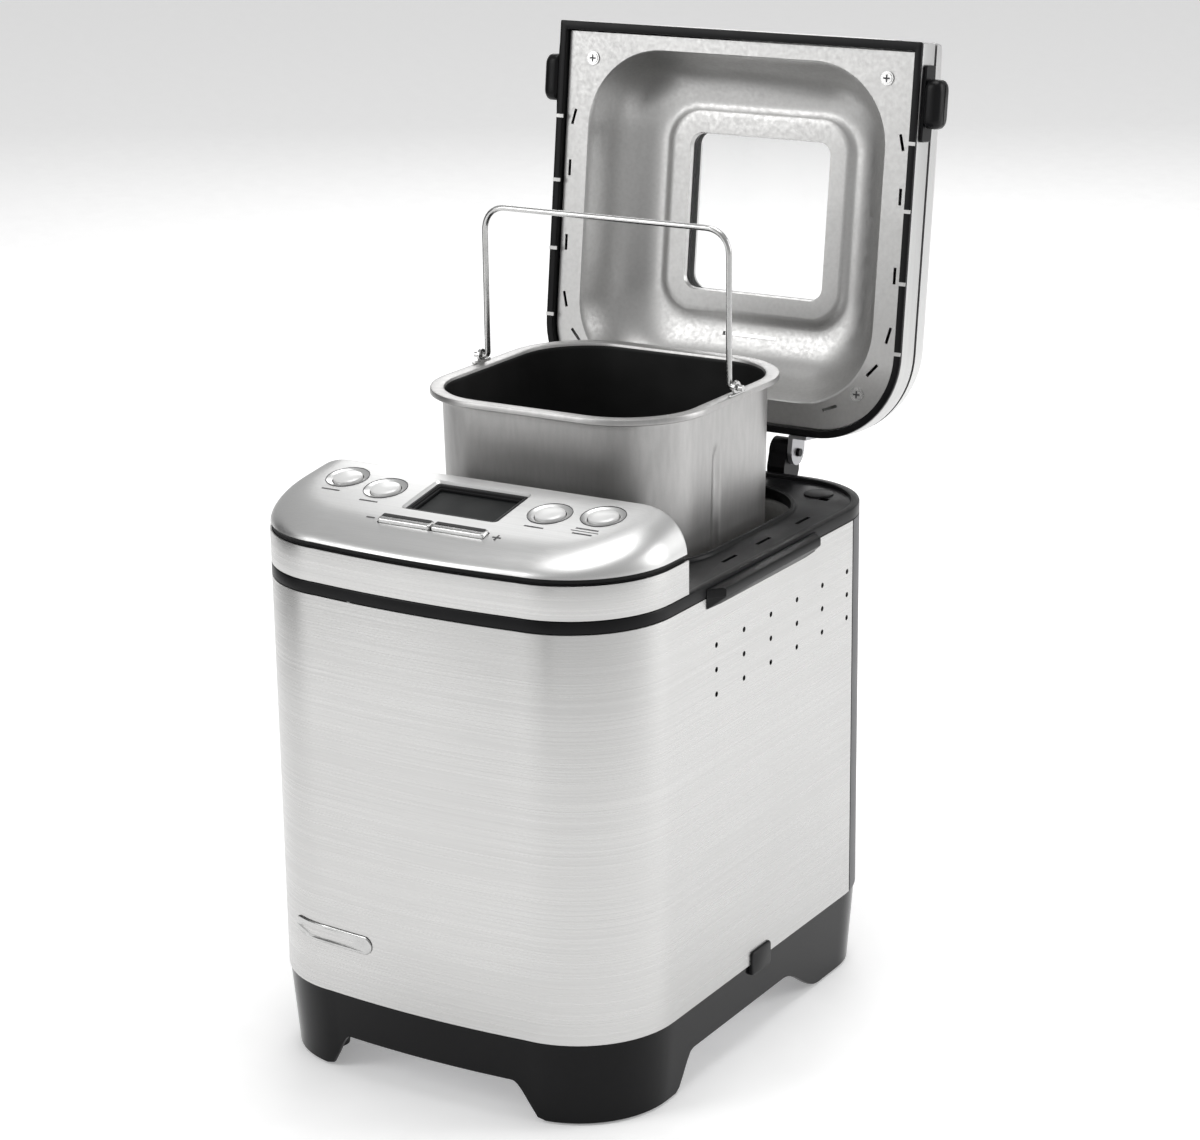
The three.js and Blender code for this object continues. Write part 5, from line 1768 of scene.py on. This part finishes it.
    def grip(self, sx: int) -> Shape:
        """Knob at the lid's side, on its base plate."""
        wall = SIZE.width / 2 + SIZE.gap

        def knob(inset: float) -> list[Point]:
            """Outline of the knob, drawn in."""
            return outline(14.5 - inset, -7.5 + inset, 7.5 - inset, 5, 5, steps=8, runs=6)

        base = outline(22.5, -6.5, 6.5, 2, 2, steps=8, runs=6)
        base_in = outline(22.0, -6.0, 6.0, 1.6, 1.6, steps=8, runs=6)
        levels = [(base, 0), (base, 1.5), (base_in, 2), (knob(1), 2), (knob(0.2), 3.4), (knob(0), 4)]
        levels += [(knob(0), 8.4), (knob(0.5), 10), (knob(1.5), 11.3), (knob(3), 12)]
        shape = Shape().loft([ring(flat, wall + z) for flat, z in levels])
        turn = Matrix.Rotation(sx * math.pi / 2, 4, "Y") @ Matrix.Rotation(math.pi / 2, 4, "Z")
        height = (self.frame_bottom + self.band_above + SIZE.band_top) / 2
        return shape.moved(Matrix.Translation((0, self.grip_y, height)) @ turn)

    def build(self, shop: Workshop, frame: dict) -> None:
        """Builds and dresses the lid."""
        lid = shop.lid
        slots = block_row(FINISH.black)
        spots, turns = [], []
        for sx in (-1, 1):
            for x, y, turn in self.slots:
                spots.append(Vector((sx * x, y, self.liner_z + 1)))
                turns.append(-sx * math.radians(turn))
        in_metres = lid @ Matrix.Scale(1 / MM, 4)
        cutter = slots.mesh("liner_slots", carrier(spots, turns), block_size(10, 1.9, 5), in_metres)
        steam_at = carrier([Vector((0, self.steam_y, self.liner_z + 30))], [math.pi / 2])
        steam = slots.mesh("steam_slot", steam_at, block_size(38, 2.4, 24), in_metres)
        liner = shop.carve(self.liner().mesh("lid_dish", lid), [cutter, steam])
        shop.add(liner, FINISH.liner, "lid", ["lid_liner"], 38)
        shop.add(self.frame_shape().mesh("lid_surround", lid), FINISH.black, "lid", ["lid_frame"], 40)
        shop.add(self.band().mesh("lid_side_band", lid), FINISH.lid_steel, "lid", ["lid_band"])
        depths = [self.vent_y + row * self.vent_pitch for row in range(self.vent_rows)]
        rows = carrier([Vector((0, y, SIZE.crown_top)) for y in depths], [math.pi / 2] * self.vent_rows)
        vents = slots.mesh("cover_vents", rows, block_size(48, 2.4, 24), in_metres)
        shell = shop.carve(self.cover().mesh("lid_shell", lid), [vents])
        shop.add(shell, FINISH.cover, "lid", ["lid_cover"], 40)
        self.build_strip(shop)
        self.build_window(shop)
        self.build_tabs(shop, in_metres)
        for side, sx in SIDES:
            shop.add(self.grip(sx).mesh(f"lid_knob_{side}", lid), FINISH.black, "lid", [f"lid_grip_{side}"])
        heads = cross_heads(FINISH.bright, FINISH.print)
        points = [Vector((sx * x, y, self.liner_z - 0.3)) for sx in (-1, 1) for x, y in self.screws]
        screws = heads.mesh("lid_screw_heads", carrier(points), {"Radius": 4.2 * MM}, in_metres)
        names = [f"lid_screw_{end}_{side}" for end in ("front", "back") for side in ("left", "right")]
        shop.add(screws, None, "lid", names)
        shop.keep(frame, FINISH.zinc, ["hinge_leaf_left", "hinge_leaf_right"])
        shop.keep(frame, FINISH.black, ["hinge_bracket_left", "hinge_bracket_right"])

    def build_strip(self, shop: Workshop) -> None:
        """Bright strip in the lid's straight front."""
        x0, x1 = self.strip
        low, top = self.frame_bottom + 3, SIZE.band_top - 1
        front = SIZE.lid_front
        middle = ((x0 + x1) / 2, front + 0.35, (low + top) / 2)
        strip = plate((x1 - x0) / 2, (top - low) / 2, 1.0, [(0, -0.35), (0, 0.2), (0.25, 0.35)])
        strip.moved(Matrix.Translation(middle) @ Matrix.Rotation(math.pi / 2, 4, "X"))
        shop.add(strip.mesh("lid_bright_strip", shop.lid), FINISH.lid_steel, "lid", ["lid_front_strip"])

    def build_window(self, shop: Workshop) -> None:
        """Two panes with the black spacer between them."""
        land = self.liner_z + self.bowl_depth + self.liner_thick + SIZE.gap
        edge = self.window_y - self.window_half - self.lap
        top = SIZE.crown(edge) - 2 - SIZE.gap
        wide = square(self.window_half + self.lap, self.window_corner + self.lap, self.window_y, 10, 4)
        narrow = square(self.window_half + 1, self.window_corner + 1, self.window_y, 10, 4)
        for name, z in (("inner", land), ("outer", top - self.pane)):
            pane = Shape().loft([ring(wide, z), ring(wide, z + self.pane)])
            shop.add(pane.mesh(f"pane_{name}", shop.lid), FINISH.pane, "lid", [f"window_{name}"])
        z0, z1 = land + self.pane + SIZE.gap, top - self.pane - SIZE.gap
        spacer = Shape().loft([ring(wide, z0), ring(wide, z1), ring(narrow, z1), ring(narrow, z0)], True)
        shop.add(spacer.mesh("window_spacer", shop.lid), FINISH.black, "lid", ["window_frame"])

    def build_tabs(self, shop: Workshop, in_metres: Matrix) -> None:
        """Folded tabs of the liner that grip the black frame."""
        job = block_row(FINISH.liner)
        x, z = SIZE.width / 2 - 2.9, self.frame_bottom - 0.05
        spots = [Vector((sx * x, y, z)) for sx in (-1, 1) for y in self.tabs]
        tabs = job.mesh("liner_tabs", carrier(spots), block_size(2.2, 5.4, 0.7), in_metres)
        shop.add(tabs, None, "lid")


# ---------------------------------------------------------------- pan


@dataclass
class Pan:
    """The kneading pan with its foot, shaft, paddle, clips and wire bail."""

    half: float = 81.0
    corner: float = 44.0
    flange: float = 7.0
    rim_z: float = 286.0
    depth: float = 144.0
    wall: float = 1.6
    taper: float = 2.5
    dent_y: float = 29.0
    wire: float = 1.75
    bail_half: float = 82.0
    bail_height: float = 90.0
    bail_bend: float = 15.0
    pivot_above: float = 4.2
    clip_x: float = 86.6
    ear_spare: float = 0.001
    levels: int = 26

    def dent(self, x: float, y: float, z: float) -> float:
        """How far the side wall is pressed in at a point."""
        across = 1 - smooth(1.6, 4.4, abs(y - self.dent_y))
        down = 1 - smooth(self.rim_z - 32, self.rim_z - 28, z)
        return 1.9 * across * down if abs(x) > 70 else 0.0

    def shell(self) -> Shape:
        """Pan wall, rolled rim and bottom."""
        bottom = self.rim_z - self.depth
        y0 = SIZE.chamber_y
        t = self.wall
        rim = self.flange

        def wall(out: float, z: float, dented: float) -> list[Vector]:
            """A ring of the wall."""
            points = []
            for x, y in square(self.half + out, self.corner + out, y0, 16, 44):
                push = dented * self.dent(x, y, z)
                points.append(Vector((x - math.copysign(push, x), y, z)))
            return points

        outer = [(-self.taper - 9, bottom), (-self.taper - 5, bottom + 0.8), (-self.taper - 2.2, bottom + 2.8)]
        outer += [(-self.taper - 0.5, bottom + 5.6), (-self.taper, bottom + 9)]
        for k in range(1, self.levels + 1):
            share = k / self.levels
            outer.append((lerp(-self.taper, 0, share), lerp(bottom + 9, self.rim_z - t - 2, share)))
        outer += [(0.5, self.rim_z - t - 0.5), (1.6, self.rim_z - t)]
        lip = [(rim - t, self.rim_z - t), (rim - t, self.rim_z - 3.2), (rim - 0.8, self.rim_z - 3.7)]
        lip += [(rim, self.rim_z - 3.2), (rim, self.rim_z - 0.9), (rim - 0.4, self.rim_z - 0.2)]
        lip += [(rim - 1.2, self.rim_z), (0.4, self.rim_z), (-0.9, self.rim_z - 0.5), (-t, self.rim_z - 1.8)]
        rings = [wall(out, z, 1.0) for out, z in outer]
        rings += [wall(out, z, 0.0) for out, z in lip]
        for k in range(self.levels + 1):
            share = k / self.levels
            out = lerp(-t, -self.taper - t, share)
            rings.append(wall(out, lerp(self.rim_z - 4, bottom + 9, share), 1.0))
        rings += [wall(-self.taper - t - 2.4, bottom + 4, 0.0), wall(-self.taper - t - 7.4, bottom + t, 0.0)]
        return Shape().loft(rings)

    def bail(self) -> Shape:
        """Wire bail, its ends turned out through the clips."""
        x, y = self.bail_half, SIZE.chamber_y
        z = self.rim_z + self.pivot_above
        end = self.clip_x + 4.5
        points = [(-end, z), (-x, z), (-x, z + self.bail_height), (x, z + self.bail_height), (x, z), (end, z)]
        line = bent([Vector((px, y, pz)) for px, pz in points], [2.6, self.bail_bend, self.bail_bend, 2.6])
        return Shape().tube(line, self.wire, 18)

    def clip(self, sx: int) -> Shape:
        """Bent ear that carries one end of the bail, with its collar."""
        y = SIZE.chamber_y
        z = self.rim_z + self.pivot_above
        half = self.ear_spare + (self.half + self.flange - self.clip_x + 1) / 2
        shape = plate(half, 9, 1.0, [(0, 0.3), (0, 1.0), (0.3, 1.25)])
        middle = (self.half + self.flange + self.clip_x - 1) / 2
        shape.moved(Matrix.Translation((sx * middle, y, self.rim_z)))
        turns = [math.tau * i / 32 for i in range(32)]
        collar = []
        for a, r in ((-1.0, 2.1), (-1.0, 3.6), (-0.7, 3.9), (0.7, 3.9), (1.0, 3.6), (1.0, 2.1)):
            x = sx * (self.clip_x + a)
            collar.append([Vector((x, y + r * math.cos(s), z + r * math.sin(s))) for s in turns])
        return shape.joined_to(Shape().loft(collar, joined=True))

    def coat_inside(self, shell: bpy.types.Object) -> None:
        """Gives the faces that look into the pan their dark lacquer."""
        shell.data.materials.append(FINISH.lacquer.material())
        low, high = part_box("pan_body")
        middle = (low + high) / 2
        brim = high.z - 1.2 * MM
        for face in shell.data.polygons:
            inward = Vector((middle.x - face.center.x, middle.y - face.center.y, 0))
            faces_in = face.normal.dot(inward) > 0 and face.center.z < brim
            on_floor = face.normal.z > 0.5 and face.center.z < brim - 0.05
            face.material_index = 1 if faces_in and inward.length < 0.12 or on_floor else 0

    def build(self, shop: Workshop, frame: dict) -> None:
        """Builds and dresses the pan."""
        floor = (0, SIZE.chamber_y, self.rim_z - self.depth + self.wall / 2)
        bore = drill("pan_bore", 4.4, floor, 4, False)
        shell = shop.carve(self.shell().mesh("pan_shell", shop.pan), [bore(shop.pan)])
        shop.add(shell, FINISH.coat, "pan", ["pan_body"], 40)
        self.coat_inside(shell)
        shop.add(self.bail().mesh("pan_bail", shop.pan), FINISH.bright, "bail", ["bail_handle"], 60)
        for side, sx in SIDES:
            clip = self.clip(sx).mesh(f"pan_clip_{side}", shop.pan)
            shop.add(clip, FINISH.bright, "pan", [f"bail_clip_{side}"])
        shop.keep(frame, FINISH.cast, ["pan_foot"])
        shop.keep(frame, FINISH.bright, ["pan_shaft"])
        shop.keep(frame, FINISH.coat, ["paddle"])


# ---------------------------------------------------------------- studio


@dataclass
class Studio:
    """Pale floor, soft lights and the camera."""

    turn_deg: float = 31.54
    height_deg: float = 16.96
    roll_deg: float = -0.77
    place_mm: tuple[float, float, float] = (920.85, -1468.74, 796.39)
    lens_mm: float = 93.526
    sensor_mm: float = 36.0
    floor_colour: Colour = (0.93, 0.93, 0.93)
    floor_glow: float = 0.24
    floor_half_mm: float = 9000.0
    floor_thick_mm: float = 20.0
    world_light: float = 0.46
    card_height: float = 1.1
    aim_height: float = 0.28
    cards: tuple[tuple[str, float, float, float], ...] = (
        ("card_front", 4.0, 2.3, 0.13),
        ("card_left", -75.0, 1.6, 0.6),
    )
    lamps: tuple[tuple[str, tuple[float, float, float], tuple[float, float], float], ...] = field(
        default=(
            ("key", (-1.3, -1.9, 1.5), (0.9, 1.8), 20.0),
            ("fill", (2.2, 1.5, 1.2), (1.0, 1.8), 24.0),
            ("top", (0.1, 0.2, 2.6), (1.4, 1.4), 27.0),
            ("rim", (-1.2, 2.2, 1.6), (1.4, 1.2), 14.0),
        )
    )

    def card(self, name: str, turn_deg: float, away: float, half: float) -> bpy.types.Object:
        """A tall dark card out of view, which the steel reflects as a soft band.

        Args:
            name: its name.
            turn_deg: its direction from straight ahead of the machine, positive to the right.
            away: its distance in metres.
            half: half of its width in metres.

        Returns:
            The card.
        """
        board = Shape().block((-half, -0.01, 0.0), (half, 0.01, self.card_height))
        turn = Matrix.Rotation(math.radians(turn_deg), 4, "Z")
        piece = board.mesh(name, turn @ Matrix.Translation((0, -away, 0)))
        piece.data.materials.append(FINISH.black.material())
        return piece

    def camera(self, shop: Workshop) -> None:
        """Puts the camera where the machine is seen from its front right."""
        a, e, roll = (math.radians(v) for v in (self.turn_deg, self.height_deg, self.roll_deg))
        back = Vector((math.sin(a) * math.cos(e), -math.cos(a) * math.cos(e), math.sin(e)))
        right = Vector((math.cos(a), math.sin(a), 0))
        up = back.cross(right)
        x = right * math.cos(roll) + up * math.sin(roll)
        y = up * math.cos(roll) - right * math.sin(roll)
        data = bpy.data.cameras.new("camera")
        data.lens = self.lens_mm
        data.sensor_width = self.sensor_mm
        data.clip_end = 20
        camera = linked("camera", data)
        turn = Matrix((x, y, back)).transposed().to_4x4()
        camera.matrix_world = Matrix.Translation(shop.case @ Vector(self.place_mm)) @ turn
        bpy.context.scene.camera = camera

    def light(self, name: str, place: Sequence[float], size: Point, power: float) -> None:
        """A soft rectangular lamp that faces the machine."""
        data = bpy.data.lights.new(name, "AREA")
        data.shape = "RECTANGLE"
        data.size, data.size_y = size
        data.energy = power
        lamp = linked(name, data)
        lamp.location = place
        aim = Vector((0, 0, self.aim_height)) - Vector(place)
        lamp.rotation_euler = aim.to_track_quat("-Z", "Y").to_euler()

    def build(self, shop: Workshop, frame: dict) -> None:
        """Sets the stage."""
        self.camera(shop)
        for lamp in self.lamps:
            self.light(*lamp)
        world = bpy.data.worlds.new("studio")
        world.use_nodes = True
        sky = world.node_tree.nodes["Background"]
        sky.inputs["Color"].default_value = (1, 1, 1, 1)
        sky.inputs["Strength"].default_value = self.world_light
        bpy.context.scene.world = world
        view = bpy.context.scene.view_settings
        view.view_transform = "Standard"
        reach = self.floor_half_mm
        slab = Shape().block((-reach, -reach, -self.floor_thick_mm), (reach, reach, 0))
        floor = slab.mesh("floor", Matrix.Scale(MM, 4))
        cards = [self.card(*spec) for spec in self.cards]
        finish = Moulded("floor_paper", "grey_back", self.floor_colour, 0.7, 0.0, 400.0, 0.05)
        paper = finish.material()
        for node in paper.node_tree.nodes:
            if node.type == "BSDF_PRINCIPLED":
                node.inputs["Emission Color"].default_value = (1, 1, 1, 1)
                node.inputs["Emission Strength"].default_value = self.floor_glow
        floor.data.materials.append(paper)
        log.info("stage is set")


# ---------------------------------------------------------------- main


def main() -> None:
    """Builds the machine in order and reports each piece."""
    logging.basicConfig(level=logging.INFO, format="%(name)s: %(message)s")
    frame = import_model()
    shop = Workshop(frame)
    for assembly in (Studio(), Base(), Case(), Deck(), Oven(), ControlPanel(), Lid(), Pan()):
        assembly.build(shop, frame)
    log.info("%d pieces were made", shop.count)


if __name__ == "__main__":
    main()
